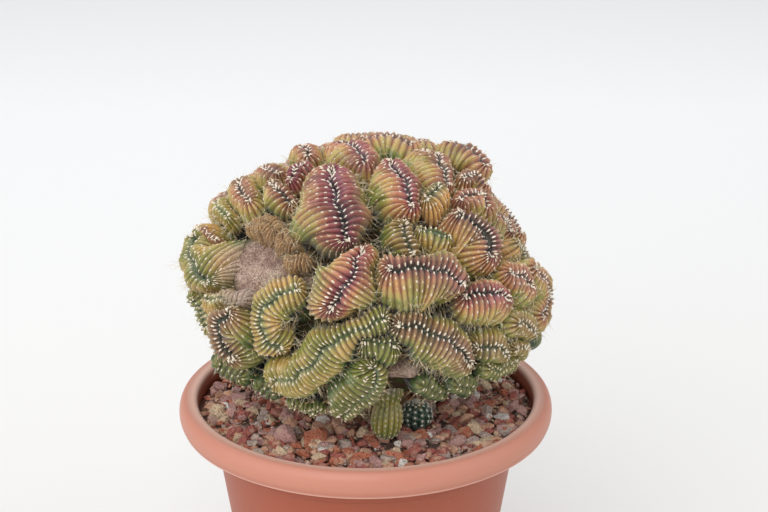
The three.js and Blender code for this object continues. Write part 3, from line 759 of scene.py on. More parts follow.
LOBE_ROWS = (
    ("crimson_crown", 17, 10, Tone.CRIMSON,
     ((-27, 68, 1.5), (-19, 61.5, 3), (-12.5, 54, 3), (-9, 48.5, 3), (-7, 44.5, 2), (-6.5, 41, 1))),
    ("top_left", 12.5, 8, Tone.RED, ((-110, 83, 0), (-45, 86, 1), (-13, 83, 1), (2, 77, 0))),
    ("top_back", 9, 9, Tone.RUST, ((120, 74, 0), (145, 79, 1), (178, 82, 0))),
    ("top_left_back", 6.5, 6.5, Tone.ROSE, ((-95, 72, 1), (-84, 73, 1), (-73, 72, 0))),
    ("plum_knob", 7, 7, Tone.PLUM, ((-60, 68, 0), (-58, 65, 0), (-52, 62, -1))),
    ("left_fan", 7.5, 7.5, Tone.RUST, ((-62, 57, -1), (-52, 57, -1), (-44, 55, -4))),
    ("left_ridge_red", 6.5, 6.5, Tone.ROSE, ((-83, 59, 0), (-77, 60, 0), (-69, 61, -1))),
    ("left_shoulder", 8, 8, Tone.RUST, ((-85, 49, 0), (-77, 49, 0), (-66, 48, -2)), True),
    ("left_shoulder_low", 7, 6.5, Tone.OLIVE, ((-87, 38, -1), (-80, 39, -1), (-71, 39, -3)), True),
    ("left_edge", 5.5, 6, Tone.RUST, ((-84, 28, -1), (-77, 30, -1), (-68, 30, -4))),
    ("left_eye", 7.5, 26, Tone.STRAW, ((-80, 25, 0), (-71, 20, 1), (-65, 18, 1), (-59, 15, -1)), True),
    ("left_fold", 6.5, 8, Tone.OLIVE, ((-56, 10, -2), (-49, 12, -2), (-42, 13, -3)), True),
    ("left_back_low", 7.5, 7.5, Tone.GREEN, ((-67, 4, -3), (-64, -1, -4), (-62, -6, -5))),
    ("left_front", 8, 14, Tone.MAUVE,
     ((-43.5, 9.5, 0), (-46, 5, 1.5), (-46.5, 0, 1.5), (-45.5, -5, 1), (-43, -9, 0))),
    ("bark_fold", 5.5, 6, Tone.BARK, ((-54, 41.5, -4), (-47.5, 44.5, -3.5), (-41, 43.5, -4)), True),
    ("bark_fold_near", 5, 5, Tone.BARK, ((-36, 42, -4), (-31.5, 39.5, -3.5), (-27.5, 38.5, -4)), True),
    ("bark_fold_low", 4.5, 4.5, Tone.BARK, ((-29, 35, -5), (-25.5, 34.5, -4), (-22, 34.5, -4)), True),
    ("loop", 8, 7.5, Tone.OLIVE,
     ((-22, 22.5, -2), (-27.5, 19, 0), (-31, 13.5, 0), (-31.5, 7.5, 0), (-29.5, 2, -1), (-26.5, -2, -3))),
    ("brow", 17, 10, Tone.RED,
     ((-1.5, 37, 0), (-3, 32.5, 2), (-4, 28.5, 3), (-6, 24.5, 3), (-8.5, 20.5, 2), (-9.5, 17.5, 1)),
     True),
    ("long_diagonal", 8.5, 8.5, Tone.OLIVE,
     ((5, 13, -1), (-3, 9, 0), (-10, 4, 0), (-15, -4, 0), (-21, -11, 0), (-28, -16, -1))),
    ("centre_dark", 9, 8, Tone.DUSK, ((16, 47, -2), (17, 42, -2), (17, 37, -3))),
    ("crown_right", 13, 7.5, Tone.RED,
     ((27, 74, 0), (27.5, 67, 1), (26, 61, 1), (24.5, 57, 1), (22.5, 53.5, 0))),
    ("crown_far_right", 12, 7, Tone.RUST, ((88, 71, 0), (80, 68, 1), (64, 64, 1), (53, 58, 0))),
    ("right_peak", 7.5, 7.5, Tone.ROSE, ((100, 64, 4), (93, 61, 5.5), (88, 57, 5.5), (83, 54, 4))),
    ("right_peak_low", 7, 7, Tone.ROSE, ((64, 57, 1), (72, 55, 2), (73, 51, 1))),
    ("right_shoulder", 8, 8, Tone.ROSE, ((49, 51, 0), (58, 51, 1), (63, 49, 1), (60, 46, 0))),
    ("amber_knob", 12, 4.5, Tone.AMBER, ((31, 54.5, 1), (36, 56, 2), (41, 56.5, 2))),
    ("right_fan", 18, 6.5, Tone.FAN,
     ((44, 46.5, 0), (46.5, 43, 1), (48.8, 38.5, 1), (48.8, 34, 1), (47.5, 29.5, 0))),
    ("right_back_red", 7.5, 7.5, Tone.ROSE, ((70, 42, -4), (76, 37, -5), (73, 33, -5))),
    ("right_back_amber", 7.5, 7.5, Tone.AMBER, ((72, 28, -5), (75, 23, -6), (73, 18, -6))),
    ("right_middle", 11.5, 11, Tone.ROSE,
     ((8, 30.5, 2), (14, 30.5, 3), (20, 29.5, 3.5), (26, 26.5, 3), (30, 22.5, 2))),
    ("right_middle_low", 9.5, 7.5, Tone.RED, ((31, 18.5, 0), (36, 18, 1), (41.5, 17, 1), (46, 13.5, 0))),
    ("right_stripe", 9, 7, Tone.RUST, ((52, 21, -1), (56, 18, 0), (59, 14, 0))),
    ("right_edge", 8, 8, Tone.RUST, ((69, 16, -2), (74, 8, -1), (75, 1, -1), (68, -3, -1))),
    ("low_right_far", 7, 7, Tone.DUSK, ((50, 2, 0), (55, -1, 0), (59, -5, 0))),
    ("low_right_end", 5.5, 5.5, Tone.DUSK, ((51, -9, -1), (56, -11, 0), (60, -14, -1))),
    ("low_right_under", 5, 5, Tone.GREEN, ((54, -17, -1), (48, -17, -1), (41, -15, -1))),
    ("low_right", 7.5, 8, Tone.DUSK, ((35, -3, -2), (40, -4, 0), (45, -8, 0))),
    ("fan_tuck", 8.5, 4, Tone.STRAW, ((24, 45, -3), (29, 44, -2.5), (34, 41, -2.5))),
    ("front_diagonal", 9.5, 8.5, Tone.MAUVE,
     ((10, 11, -1), (16, 9, 0), (22, 5, 1), (27, 0, 1), (31, -7, 0))),
    ("centre_wedge", 12.5, 3.5, Tone.GREEN, ((0, 4.5, -2.5), (4, 5, -2), (8, 3.5, -2.5))),
    ("front_oval", 12.5, 4.4, Tone.GREEN,
     ((2, -6, -2), (3.5, -11, -1), (1, -18, -1), (-5, -26, 0), (-8, -31.5, -1))),
    ("shade_right", 4.8, 4.2, Tone.SHADE, ((19, -20, -4), (24, -23.5, -4), (28.5, -27, -4))),
    ("shade_right_far", 6, 6, Tone.SHADE, ((31, -21, -2), (36, -23, -2))),
    ("front_knob_left", 3.2, 3.2, Tone.GREEN, ((-25, -29, -1.5), (-23, -30.5, -1.5))),
    ("front_knob", 3.4, 3.4, Tone.GREEN, ((-21, -30, -1), (-19, -32, -1))),
    ("front_knob_right", 3, 3, Tone.GREEN, ((-16, -28, -1.5), (-14.5, -30, -1.5))),
    ("shade_left", 6.5, 6.5, Tone.SHADE, ((-51, -17, -1), (-45, -21, -2))),
    ("shade_left_near", 4.5, 4.5, Tone.SHADE, ((-38, -25, -3), (-34, -27, -3))),
    ("back_crown", 11, 10, Tone.RUST, ((-170, 64, 0), (172, 60, 1), (154, 58, 1), (138, 62, 0))),
    ("back_crown_left", 10, 11, Tone.RED, ((-142, 66, -3), (-132, 58, -4), (-118, 53, -7), (-106, 54, -7))),
    ("back_right_high", 11, 10, Tone.ROSE, ((130, 50, 0), (122, 43, -4), (112, 38, -8), (103, 37, -9))),
    ("back_right_low", 10, 11, Tone.AMBER, ((112, 24, -8), (103, 20, -9), (94, 15, -8), (88, 8, -4))),
    ("back_middle", 11, 11, Tone.RED, ((146, 42, 0), (156, 38, 1), (168, 39, 1), (179, 44, 0))),
    ("back_middle_left", 10, 11, Tone.RUST, ((-160, 45, 0), (-150, 38, 0), (-140, 32, 0), (-137, 24, -1))),
    ("back_left_high", 10, 10, Tone.ROSE, ((-124, 40, -2), (-113, 37, -2), (-101, 38, -2))),
    ("back_left", 11, 10, Tone.OLIVE, ((-122, 24, -3), (-111, 19, -4), (-100, 17, -5), (-92, 10, -5))),
    ("back_low", 10, 11, Tone.OLIVE, ((-178, 27, 0), (-167, 21, 1), (-157, 13, 1), (-158, 4, 0))),
    ("back_low_right", 11, 10, Tone.RUST, ((132, 28, -2), (140, 20, 0), (150, 16, 1), (160, 20, 0))),
    ("back_skirt_right", 10, 10, Tone.DUSK, ((124, 8, -3), (116, 2, -3), (106, -3, -3), (97, -7, -2))),
    ("back_skirt", 10, 10, Tone.GREEN, ((175, 5, 0), (164, 0, 1), (152, -3, 1), (141, 2, 0))),
    ("back_skirt_left", 10, 10, Tone.DUSK, ((-128, 8, -2), (-134, 0, -1), (-143, -6, -1))),
    ("left_skirt", 9, 9, Tone.GREEN, ((-108, 4, -4), (-98, -2, -6), (-88, -7, -8))),
    ("back_under", 9, 9, Tone.SHADE, ((-170, -14, -1), (177, -17, 0), (165, -18, -1))),
    ("back_under_right", 9, 9, Tone.GREEN, ((138, -14, -1), (128, -15, -1), (117, -17, -2))),
    ("right_under", 8, 8, Tone.SHADE, ((98, -20, -3), (88, -17, -2), (78, -15, -2))),
    ("back_under_left", 9, 9, Tone.SHADE, ((-122, -14, -2), (-111, -16, -3), (-100, -19, -4))),
    ("right_side_high", 9, 9, Tone.RUST, ((86, 49, -4), (91, 43, -5), (92, 35, -6), (87, 27, -6))),
    ("left_side_under", 8, 7.5, Tone.GREEN,
     ((-93, -17, -10), (-84, -20, -11), (-76, -21, -11), (-68, -19, -9))),
    ("left_side_low", 6.5, 6.5, Tone.OLIVE, ((-84, 0, -8), (-78, -5, -9), (-71, -9, -9))),
)
LOBES = tuple(Lobe(*row) for row in LOBE_ROWS)


class Region(Enum):
    """The crest's pieces, by where their lobes lie on the dome."""

    CROWN = "crest_crown"
    FRONT_LEFT = "crest_front_left"
    FRONT_RIGHT = "crest_front_right"
    BACK_LEFT = "crest_back_left"
    BACK_RIGHT = "crest_back_right"

    @classmethod
    def of(cls, lobe: Lobe) -> "Region":
        """Finds a lobe's region by the middle point of its growing line."""
        azimuth, latitude, _ = lobe.places[len(lobe.places) // 2]
        if latitude > 45:
            return cls.CROWN
        if abs(azimuth) > 90:
            return cls.BACK_LEFT if azimuth < 0 else cls.BACK_RIGHT
        return cls.FRONT_LEFT if azimuth < 0 else cls.FRONT_RIGHT


@dataclass(frozen=True)
class CheekProfile:
    """A cheek's section, from the groove to the root, in shares of the cheek's reach."""

    marks: tuple[Pair, ...] = (
        (0.02, -0.19), (0.09, -0.12), (0.22, -0.035), (0.40, 0.0), (0.62, -0.06), (0.84, -0.25),
        (0.97, -0.55), (1.0, -0.86), (0.93, -1.22), (0.74, -1.75),
    )
    rows: int = 21

    def line(self) -> tuple[Array, Array]:
        """Draws the section through its marks.

        Returns:
            The rows' reach and rise, and their outward normals in the section's plane.
        """
        marks = np.array(self.marks)
        knots = np.vstack([2 * marks[0] - marks[1], marks, 2 * marks[-1] - marks[-2]])
        line = spline(knots, 200)
        run = np.concatenate([[0], np.cumsum(np.linalg.norm(np.diff(line, axis=0), axis=1))])
        wanted = np.linspace(0, run[-1], self.rows)
        rows = np.column_stack([np.interp(wanted, run, line[:, k]) for k in (0, 1)])
        slope = unit(np.gradient(rows, axis=0))
        return rows, np.column_stack([-slope[:, 1], slope[:, 0]])


def ease_ring(values: Array, length: Array, slope: float, width: int) -> Array:
    """Lowers values round a ring until none rises faster than a slope, and evens them out.

    Args:
        values: One value a station.
        length: The stations' places round the ring.
        slope: The steepest rise, in values for each length.
        width: How many stations on each side are averaged.

    Returns:
        The eased values.
    """
    apart = np.abs(length[:, None] - length)
    apart = np.minimum(apart, length[-1] - apart)
    eased = np.min(values[None] + slope * np.maximum(apart, 0), axis=1)
    eased = np.concatenate([eased[-width:], eased, eased[:width]])
    kernel = np.hanning(2 * width + 3)[1:-1]
    return np.convolve(eased, kernel / kernel.sum(), mode="valid")


def spline(knots: Array, count: int) -> Array:
    """Draws a uniform Catmull-Rom curve.

    Args:
        knots: Its points, with one more before the first and after the last.
        count: How many points to return.

    Returns:
        Points from the second knot to the last but one.
    """
    spans = len(knots) - 3
    whole = np.linspace(0, spans, count)
    start = np.minimum(whole.astype(int), spans - 1)
    t = (whole - start)[:, None]
    before, here, there, after = (knots[start + k] for k in range(4))
    leave, arrive = (there - before) / 2, (after - here) / 2
    return (
        (2 * t**3 - 3 * t**2 + 1) * here
        + (t**3 - 2 * t**2 + t) * leave
        + (3 * t**2 - 2 * t**3) * there
        + (t**3 - t**2) * arrive
    )


class GrowingLine:
    """A lobe's growing line, traced over the dome with its directions, bend and lift."""

    SAMPLES = 240
    BEND_SPAN = 20
    CONVERGE = 0.88
    BLUNT = 0.22
    SWAYS = ((11.0, 0.45), (6.3, 0.25))

    def __init__(self, lobe: Lobe, seed: int) -> None:
        """Traces the line.

        Args:
            lobe: The lobe.
            seed: The seed of its small irregularities.
        """
        self.lobe = lobe
        self.random = np.random.default_rng(seed)
        places = np.array([HULL.place(*place) for place in lobe.places])
        knots = np.vstack([2 * places[0] - places[1], places, 2 * places[-1] - places[-2]])
        point = spline(knots, self.SAMPLES)
        forward, side, outward = self._directions(point)
        index = np.arange(self.SAMPLES)
        before = np.maximum(index - self.BEND_SPAN, 0)
        after = np.minimum(index + self.BEND_SPAN, self.SAMPLES - 1)
        travelled = np.linalg.norm(point[after] - point[before], axis=1)
        self.bend = ((forward[after] - forward[before]) * side[before]).sum(axis=1) / travelled
        steps = np.linalg.norm(np.diff(point, axis=0), axis=1)
        self.run = np.concatenate([[0], np.cumsum(steps)])
        sway = sum(
            amount * np.sin(self.run * math.tau / wave + math.tau * self.random.random())
            for wave, amount in self.SWAYS
        )
        self.point = point + side * sway[:, None]
        self.forward, self.side, self.outward = forward, side, outward
        lifts = [place[2] for place in lobe.places]
        self.lift = np.interp(index, np.linspace(0, self.SAMPLES - 1, len(lifts)), lifts)

    @staticmethod
    def _directions(point: Array) -> tuple[Array, Array, Array]:
        """Finds the line's forward, sideways and outward directions at its points."""
        forward = unit(np.gradient(point, axis=0))
        outward = HULL.outward(point)
        outward[:, 2] += HULL.lean
        side = unit(np.cross(forward, outward))
        return forward, side, np.cross(side, forward)

    def cheek(self, turn: Array) -> Array:
        """Finds the reach of the cheeks in directions, shared round the blunt ends."""
        share = (1 + np.cos(turn)) / 2
        reach = self.lobe.first * share + self.lobe.second * (1 - share)
        return reach * (1 - self.BLUNT * np.sin(turn) ** 2)

    def lay(self, share: Array, turn: Array, reach: Array, rise: Array) -> Array:
        """Places points by their station, reach from the growing line and rise above it.

        Args:
            share: The stations' shares of the line's length.
            turn: The stations' directions, from the side vector towards the forward one.
            reach: The points' reach in millimetres, of any shape that ends in the stations.
            rise: The points' rise in millimetres.

        Returns:
            The points, in the shape of the reach with three coordinates each.
        """
        place = np.clip(share, 0, 1) * (self.SAMPLES - 1)
        low = np.minimum(place.astype(int), self.SAMPLES - 2)
        part = (place - low)[:, None]
        point, side, forward, outward = (
            rows[low] * (1 - part) + rows[low + 1] * part
            for rows in (self.point, self.side, self.forward, self.outward)
        )
        way = side * np.cos(turn)[:, None] + forward * np.sin(turn)[:, None]
        tight = np.maximum(0, self.bend[low] * np.cos(turn) * reach) / self.CONVERGE
        held = reach / (1 + tight**4) ** 0.25
        return point + way * held[..., None] + outward * rise[..., None]


class Packing:
    """The room that each cheek has before it meets its neighbours."""

    STRIDE = 8
    TRIALS = 15
    LEAST_SHARE = 0.3
    NEAR = 32.0
    OWN_RUN = 2.3
    LIFT_WEIGHT = 0.05
    LONGEST_TRIAL = 1.06
    FREE = 9.0

    def __init__(self, lines: Sequence[GrowingLine]) -> None:
        """Keeps the lines that share the dome."""
        self.lines = lines

    def room(self, line: GrowingLine, share: Array, turn: Array) -> Array:
        """Finds the share of its full reach that a cheek can take at stations.

        Args:
            line: The lobe's growing line.
            share: The stations' shares of the line's length.
            turn: The stations' directions.

        Returns:
            The shares, from the least one to 1.
        """
        cheek = line.cheek(turn)
        trial = np.linspace(self.LEAST_SHARE, self.LONGEST_TRIAL, self.TRIALS)
        spots = line.lay(share, turn, trial[:, None] * cheek, np.zeros((self.TRIALS, len(turn))))
        base = line.lay(share, turn, cheek * 0, cheek * 0)
        own = np.linalg.norm(spots - base, axis=2) / cheek
        place = np.clip(share, 0, 1) * (line.SAMPLES - 1)
        lift = np.interp(place, np.arange(line.SAMPLES), line.lift)
        run = np.interp(place, np.arange(line.SAMPLES), line.run)
        margin = np.full(own.shape, self.FREE)
        for other in self.lines:
            chosen = np.arange(0, other.SAMPLES, self.STRIDE)
            gaps = np.linalg.norm(other.point[chosen][:, None] - line.point[None, :: self.STRIDE], axis=2)
            if gaps.min() > self.NEAR:
                continue
            away = spots[:, :, None] - other.point[chosen]
            along = (away * other.forward[chosen]).sum(axis=-1)
            aside = (away * other.side[chosen]).sum(axis=-1)
            distance = np.hypot(along, aside)
            width = other.cheek(np.arctan2(along, aside))
            raised = other.lift[chosen] - lift[:, None]
            ratio = distance / (width * (1 + self.LIFT_WEIGHT * raised))
            if other is line:
                apart = np.abs(other.run[chosen] - run[:, None])
                ratio = np.where(apart < self.OWN_RUN * cheek[:, None], self.FREE, ratio)
            margin = np.minimum(margin, ratio.min(axis=2))
        free = margin > own
        blocked = np.argmin(np.vstack([free, np.zeros((1, len(turn)), bool)]), axis=0)
        blocked = np.clip(blocked, 1, self.TRIALS - 1)
        column = np.arange(len(turn))
        before = (margin - own)[blocked - 1, column]
        after = (margin - own)[blocked, column]
        part = np.clip(before / np.maximum(before - after, 1e-6), 0, 1)
        limit = trial[blocked - 1] + (trial[blocked] - trial[blocked - 1]) * part
        return np.where(free.all(axis=0), 1.0, np.clip(limit, self.LEAST_SHARE, 1.0))


class LobeSkin:
    """A lobe's surface: a fat ridge with a groove along its growing line and ribbed cheeks."""

    CAP_SAMPLES = 48
    RIB_SAMPLES = 6
    RIB_PITCH = 2.3
    BACK_PITCH = 2.6
    BACK_AZIMUTH = 95
    BACK_RELIEF = 0.75
    RELIEF = 1.2
    GAP = 0.6
    ROOT_DEPTH = 18.0
    AREOLE_PITCH = 3.0
    # An areole's run down its rib starts after so many millimetres and ends after so many cheeks. Where
    # ribs crowd round the ends of the growing line, three starts take turns.
    FIRST_AREOLE = 0.9
    LAST_AREOLE = 2.1
    CROWDED_STARTS = (0.6, 2.4, 1.4)
    YOUNG_RUN = 4.0
    KEPT = 0.75
    CREASE_SPACING = (9.0, 15.0)
    CREASE_DEPTH = (0.05, 0.12)
    CREASE_WIDTH = 1.8
    CREASE_DROP = 0.8
    FOLDING = (1.7, 0.8)
    FURROW = (0.45, 0.55)
    EASE = 0.8
    BULGES = ((8.0, 0.035), (5.3, 0.025))
    SWELLS = ((2, 0.03), (3, 0.03), (5, 0.025), (7, 0.015))
    GAUGE_SHARE = 0.6
    LEAST_RIBS = 9
    RIB_UNEVENNESS = 0.3
    EASE_RIBS = 3
    ROOT_SHARE = 1.6
    CORK_SLACK = 1.55
    CORK_FADE = 1.3
    BARK_CORK = 0.9
    TUCK_FROM = 0.72
    TUCK_SPAN = 0.65
    TUCK_ON_CORK = 0.15
    # The ribs' height in shares, by depth below the shoulder in shares of the cheek.
    RIB_FADE = ((0.0, 1.0), (0.1, 0.95), (0.35, 0.75), (0.7, 0.55), (1.3, 0.4), (1.75, 0.1))
    RIB_FADE_IN = (0.6, 0.85, 1.0, 1.0)
    RIB_POWER = 1.35
    BARK_FLATTENING = -0.6
    CORK_FLATTENING = 0.7
    FULL_WIDTH = 11.0
    REACH_POWER = 0.8
    # Lobes low on the dome have older skin with less red and amber, and they get painted shade.
    SHY_AGE = 0.35
    SHY_RED = 0.6
    SHY_WARM = 0.7
    SHY_PAINTED_SHADE = 0.4
    SHY_BELOW = -3.0
    SHY_SPAN = 30.0
    LUMP_SIZE = 2.2
    LUMP_RISE = 0.5

    def __init__(self, line: GrowingLine, packing: Packing) -> None:
        """Works the surface out.

        Args:
            line: The lobe's growing line.
            packing: The room among its neighbours.
        """
        self.line = line
        self.lobe = line.lobe
        self.random = line.random
        self.share, self.turn, self.rib, self.length = self._stations()
        self.grid = self._raise(packing)
        steps = np.linalg.norm(np.diff(self.grid, axis=0), axis=2)
        self.run = np.vstack([np.zeros(len(self.share)), np.cumsum(steps, axis=0)])
        LOG.debug("%s: %d stations", self.lobe.name, len(self.share))

    @property
    def is_bark(self) -> bool:
        """Whether the lobe is a fold of old dry bark."""
        return self.lobe.tone is Tone.BARK

    def _pitch(self) -> float:
        """Finds the ribs' pitch in millimetres."""
        return self.BACK_PITCH if self._is_away() else self.lobe.tone.pitch

    def _is_away(self) -> bool:
        """Whether the lobe starts behind the dome's sides."""
        return abs(self.lobe.places[0][0]) > self.BACK_AZIMUTH

    def _stations(self) -> tuple[Array, Array, Array, Array]:
        """Sets the ribs evenly round the lobe, and several stations on each rib.

        Returns:
            The stations' shares of the line, directions, places in ribs and lengths round it.
        """
        count = self.line.SAMPLES
        line = np.linspace(0, 1, count)
        cap = np.linspace(0, math.pi, self.CAP_SAMPLES + 2)[1:-1]
        ones, nones = np.ones(count), np.zeros(count)
        share = np.concatenate([line, cap * 0 + 1, line[::-1], cap * 0, [0.0]])
        turn = np.concatenate([nones, cap, ones * math.pi, cap + math.pi, [math.tau]])
        gauge = self.line.lay(share, turn, self.line.cheek(turn) * self.GAUGE_SHARE, turn * 0)
        run = np.concatenate([[0], np.cumsum(np.linalg.norm(np.diff(gauge, axis=0), axis=1))])
        ribs = max(self.LEAST_RIBS, round(run[-1] / self._pitch()))
        widths = 1 + self.RIB_UNEVENNESS * (self.random.random(ribs) - 0.5)
        edges = np.concatenate([[0], np.cumsum(widths)]) * run[-1] / widths.sum()
        rib = np.arange(ribs * self.RIB_SAMPLES) / self.RIB_SAMPLES
        length = np.interp(rib, np.arange(ribs + 1), edges)
        return np.interp(length, run, share), np.interp(length, run, turn), rib, length

    def _creases(self) -> Array:
        """Cuts creases across the cheeks at uneven spacings, as shares of their reach."""
        whole = self.length[-1]
        depth = np.zeros_like(self.length)
        place = self.random.uniform(0, self.CREASE_SPACING[1])
        while place < whole:
            away = np.abs(self.length - place)
            away = np.minimum(away, whole - away)
            amount = self.random.uniform(*self.CREASE_DEPTH)
            depth = np.maximum(depth, amount / (1 + (away / self.CREASE_WIDTH) ** 2))
            place += self.random.uniform(*self.CREASE_SPACING)
        return depth

    def _raise(self, packing: Packing) -> Array:
        """Raises the rows of the surface, ribs and all.

        Args:
            packing: The room among the lobe's neighbours.

        Returns:
            The surface's points: rows from the groove down, stations, coordinates.
        """
        rows, normals = CheekProfile().line()
        cheek = self.line.cheek(self.turn)
        loop = self.rib / self.rib[-1] * math.tau
        creases = self._creases() * (self.FOLDING[0] - self.FOLDING[1] * self.lobe.tone.red)
        swell = 1 - creases
        bulges = [(round(self.length[-1] / wave), amount) for wave, amount in self.BULGES]
        for times, amount in (*self.SWELLS, *bulges):
            swell += amount * np.sin(times * loop + math.tau * self.random.random())
        every = self.RIB_SAMPLES // 2
        coarse = packing.room(self.line, self.share[::every], self.turn[::every])
        room = np.interp(self.length, self.length[::every], coarse, period=self.length[-1] * 1.001)
        room = np.minimum(cheek * swell, cheek * room - self.GAP)
        room = ease_ring(room, self.length, self.EASE, self.EASE_RIBS * self.RIB_SAMPLES)
        middle = (self.lobe.first + self.lobe.second) / 2
        tall = (cheek + middle) / 2
        young = (np.arange(len(rows)) < np.argmax(rows[:, 1]))[:, None]
        furrow = self.FURROW[0] + self.FURROW[1] * self.lobe.tone.red
        depth = -rows[:, 1:] * tall * np.where(young, furrow, 1.0)
        depth = depth + self.CREASE_DROP * creases * tall
        root = np.maximum(self.ROOT_DEPTH + self.lobe.places[0][2], self.ROOT_SHARE * tall)
        last = np.linspace(0, 1, 5)[1:, None] ** 1.5
        share = np.zeros((len(rows), 1))
        share[-4:] = last
        rise = -(depth * (1 - share) + root * share)
        reach = rows[:, :1] * room
        bare = self.line.lay(self.share, self.turn, reach, rise)
        self.cork = HULL.saddle(bare, self.CORK_SLACK, self.CORK_FADE) * float(self.lobe.corked)
        if self.is_bark:
            self.cork = np.maximum(self.cork, self.BARK_CORK)
        # Painted shade: the skin darkens where the cheek tucks under towards its root, less so on cork.
        tuck_shade = smooth_step((-rise / tall - self.TUCK_FROM) / self.TUCK_SPAN)
        self.deep = tuck_shade * (1 - (1 - self.TUCK_ON_CORK) * self.cork)
        fade = np.interp(-rows[:, 1], *zip(*self.RIB_FADE))
        fade[: len(self.RIB_FADE_IN)] = self.RIB_FADE_IN
        crown = np.abs(np.sin(math.pi * self.rib)) ** self.RIB_POWER - 0.5
        flat = self.BARK_FLATTENING if self.is_bark else self.CORK_FLATTENING
        height = self.RELIEF * (self.BACK_RELIEF if self._is_away() else 1)
        relief = height * fade[:, None] * crown[None] * (1 - flat * self.cork)
        relief *= np.minimum(1, 0.25 + self._spacing() / self.RIB_PITCH * 0.75)
        if self.is_bark:
            spots = bare.reshape(-1, 3) / self.LUMP_SIZE
            lumps = [noise.fractal(Vector(spot), 0.9, 2.0, 3) for spot in spots]
            relief = relief + self.LUMP_RISE * np.reshape(lumps, relief.shape)
        return self.line.lay(
            self.share,
            self.turn,
            np.maximum(reach + relief * normals[:, :1], 0.01),
            rise + relief * normals[:, 1:],
        )

    def _spacing(self) -> Array:
        """Measures the ribs' width at each station along the shoulder."""
        gauge = self.line.lay(self.share, self.turn, self.line.cheek(self.turn) * 0.8, self.turn * 0)
        step = np.linalg.norm(np.roll(gauge, -1, axis=0) - np.roll(gauge, 1, axis=0), axis=1)
        return step * self.RIB_SAMPLES / 2

    def _sew(self, first: int, flip: bool) -> Array:
        """Closes a ring of stations across the growing line.

        Args:
            first: The number of the ring's first point.
            flip: Whether the triangles face down.

        Returns:
            The triangles.
        """
        count = len(self.turn)
        start = int(np.searchsorted(self.turn, 1.5 * math.pi)) % count
        end = int(np.searchsorted(self.turn, 0.5 * math.pi))
        left = [(start + k) % count for k in range((end - start) % count + 1)]
        right = [(start - k) % count for k in range((start - end) % count + 1)]
        faces = []
        i = j = 0
        while i < len(left) - 1 or j < len(right) - 1:
            ahead_left = (i + 1) / (len(left) - 1)
            ahead_right = (j + 1) / (len(right) - 1)
            if i < len(left) - 1 and (ahead_left <= ahead_right or j == len(right) - 1):
                faces.append((left[i], left[i + 1], right[j]))
                i += 1
            else:
                faces.append((right[j], left[i], right[j + 1]))
                j += 1
        sewn = np.array([face for face in faces if len(set(face)) == 3])
        return (sewn[:, ::-1] if flip else sewn) + first

    def add_to(self, draft: Draft) -> None:
        """Adds the lobe's surface to a piece."""
        rows, count = self.grid.shape[:2]
        quads = join_rows(rows, count, falling=True)[0]
        spread = map_ribs(self.rib, self.RIB_SAMPLES, self.run / self.AREOLE_PITCH, falling=True)
        top, bottom = self._sew(0, False), self._sew((rows - 1) * count, True)
        flat = [np.full((len(faces), 3, 2), 0.5) for faces in (top, bottom)]
        tone = self.lobe.tone
        widest = max(self.lobe.first, self.lobe.second)
        reach = tone.reach * min(1.0, widest / self.FULL_WIDTH) ** self.REACH_POWER
        points = self.grid.reshape(-1, 3)
        # Low lobes: older, less red and less amber skin, with painted shade over it.
        shy = smooth_step((self.SHY_BELOW - HULL.bearing(points)[1]) / self.SHY_SPAN)
        draft.add(
            points,
            [quads, top, bottom],
            [spread, *flat],
            age=(self.run / reach).ravel() + self.SHY_AGE * shy,
            red=tone.red * (1 - self.SHY_RED * shy),
            warm=tone.warm * (1 - self.SHY_WARM * shy),
            dark=tone.dark + self.SHY_PAINTED_SHADE * shy,
            cork=self.cork.ravel(),
            deep=self.deep.ravel(),
        )

    def areoles(self) -> dict[str, Array]:
        """Places the areoles down every rib.

        Returns:
            Their places, outward, downward and sideways directions, distances from the groove
            in millimetres and in shares of the cheek, the cork there and the lobe's redness.
        """
        columns = np.arange(self.RIB_SAMPLES // 2, len(self.rib), self.RIB_SAMPLES)
        found = []
        if self.lobe.tone is Tone.SHADE:
            columns = columns[::2]
        for column in columns:
            run = self.run[:, column]
            cheek = float(self.line.cheek(self.turn[column : column + 1])[0])
            step = self.AREOLE_PITCH * (0.9 + 0.2 * self.random.random())
            crowded = math.sin(float(self.turn[column])) ** 2 * self.CROWDED_STARTS[len(found) % 3]
            start = self.FIRST_AREOLE + self.FIRST_AREOLE * self.random.random() + crowded
            marks = np.arange(start, min(run[-1], self.LAST_AREOLE * cheek), step)
            marks = marks + 0.5 * (self.random.random(len(marks)) - 0.5)
            marks = marks[(marks < self.YOUNG_RUN) | (self.random.random(len(marks)) < self.KEPT)]
            row = np.interp(marks, run, np.arange(len(run)))
            low = np.clip(row.astype(int), 0, len(run) - 2)
            part = (row - low)[:, None]
            before, after = column - 1, (column + 1) % len(self.rib)
            spot = self.grid[low, column] * (1 - part) + self.grid[low + 1, column] * part
            down = unit(self.grid[low + 1, column] - self.grid[low, column])
            aside = unit(self.grid[low, after] - self.grid[low, before])
            out = unit(np.cross(down, aside))
            cork = self.cork[low, column]
            red = np.full(len(marks), self.lobe.tone.red)
            found.append(np.column_stack([spot, out, down, aside, marks, marks / cheek, cork, red]))
        return split_table(np.vstack(found))


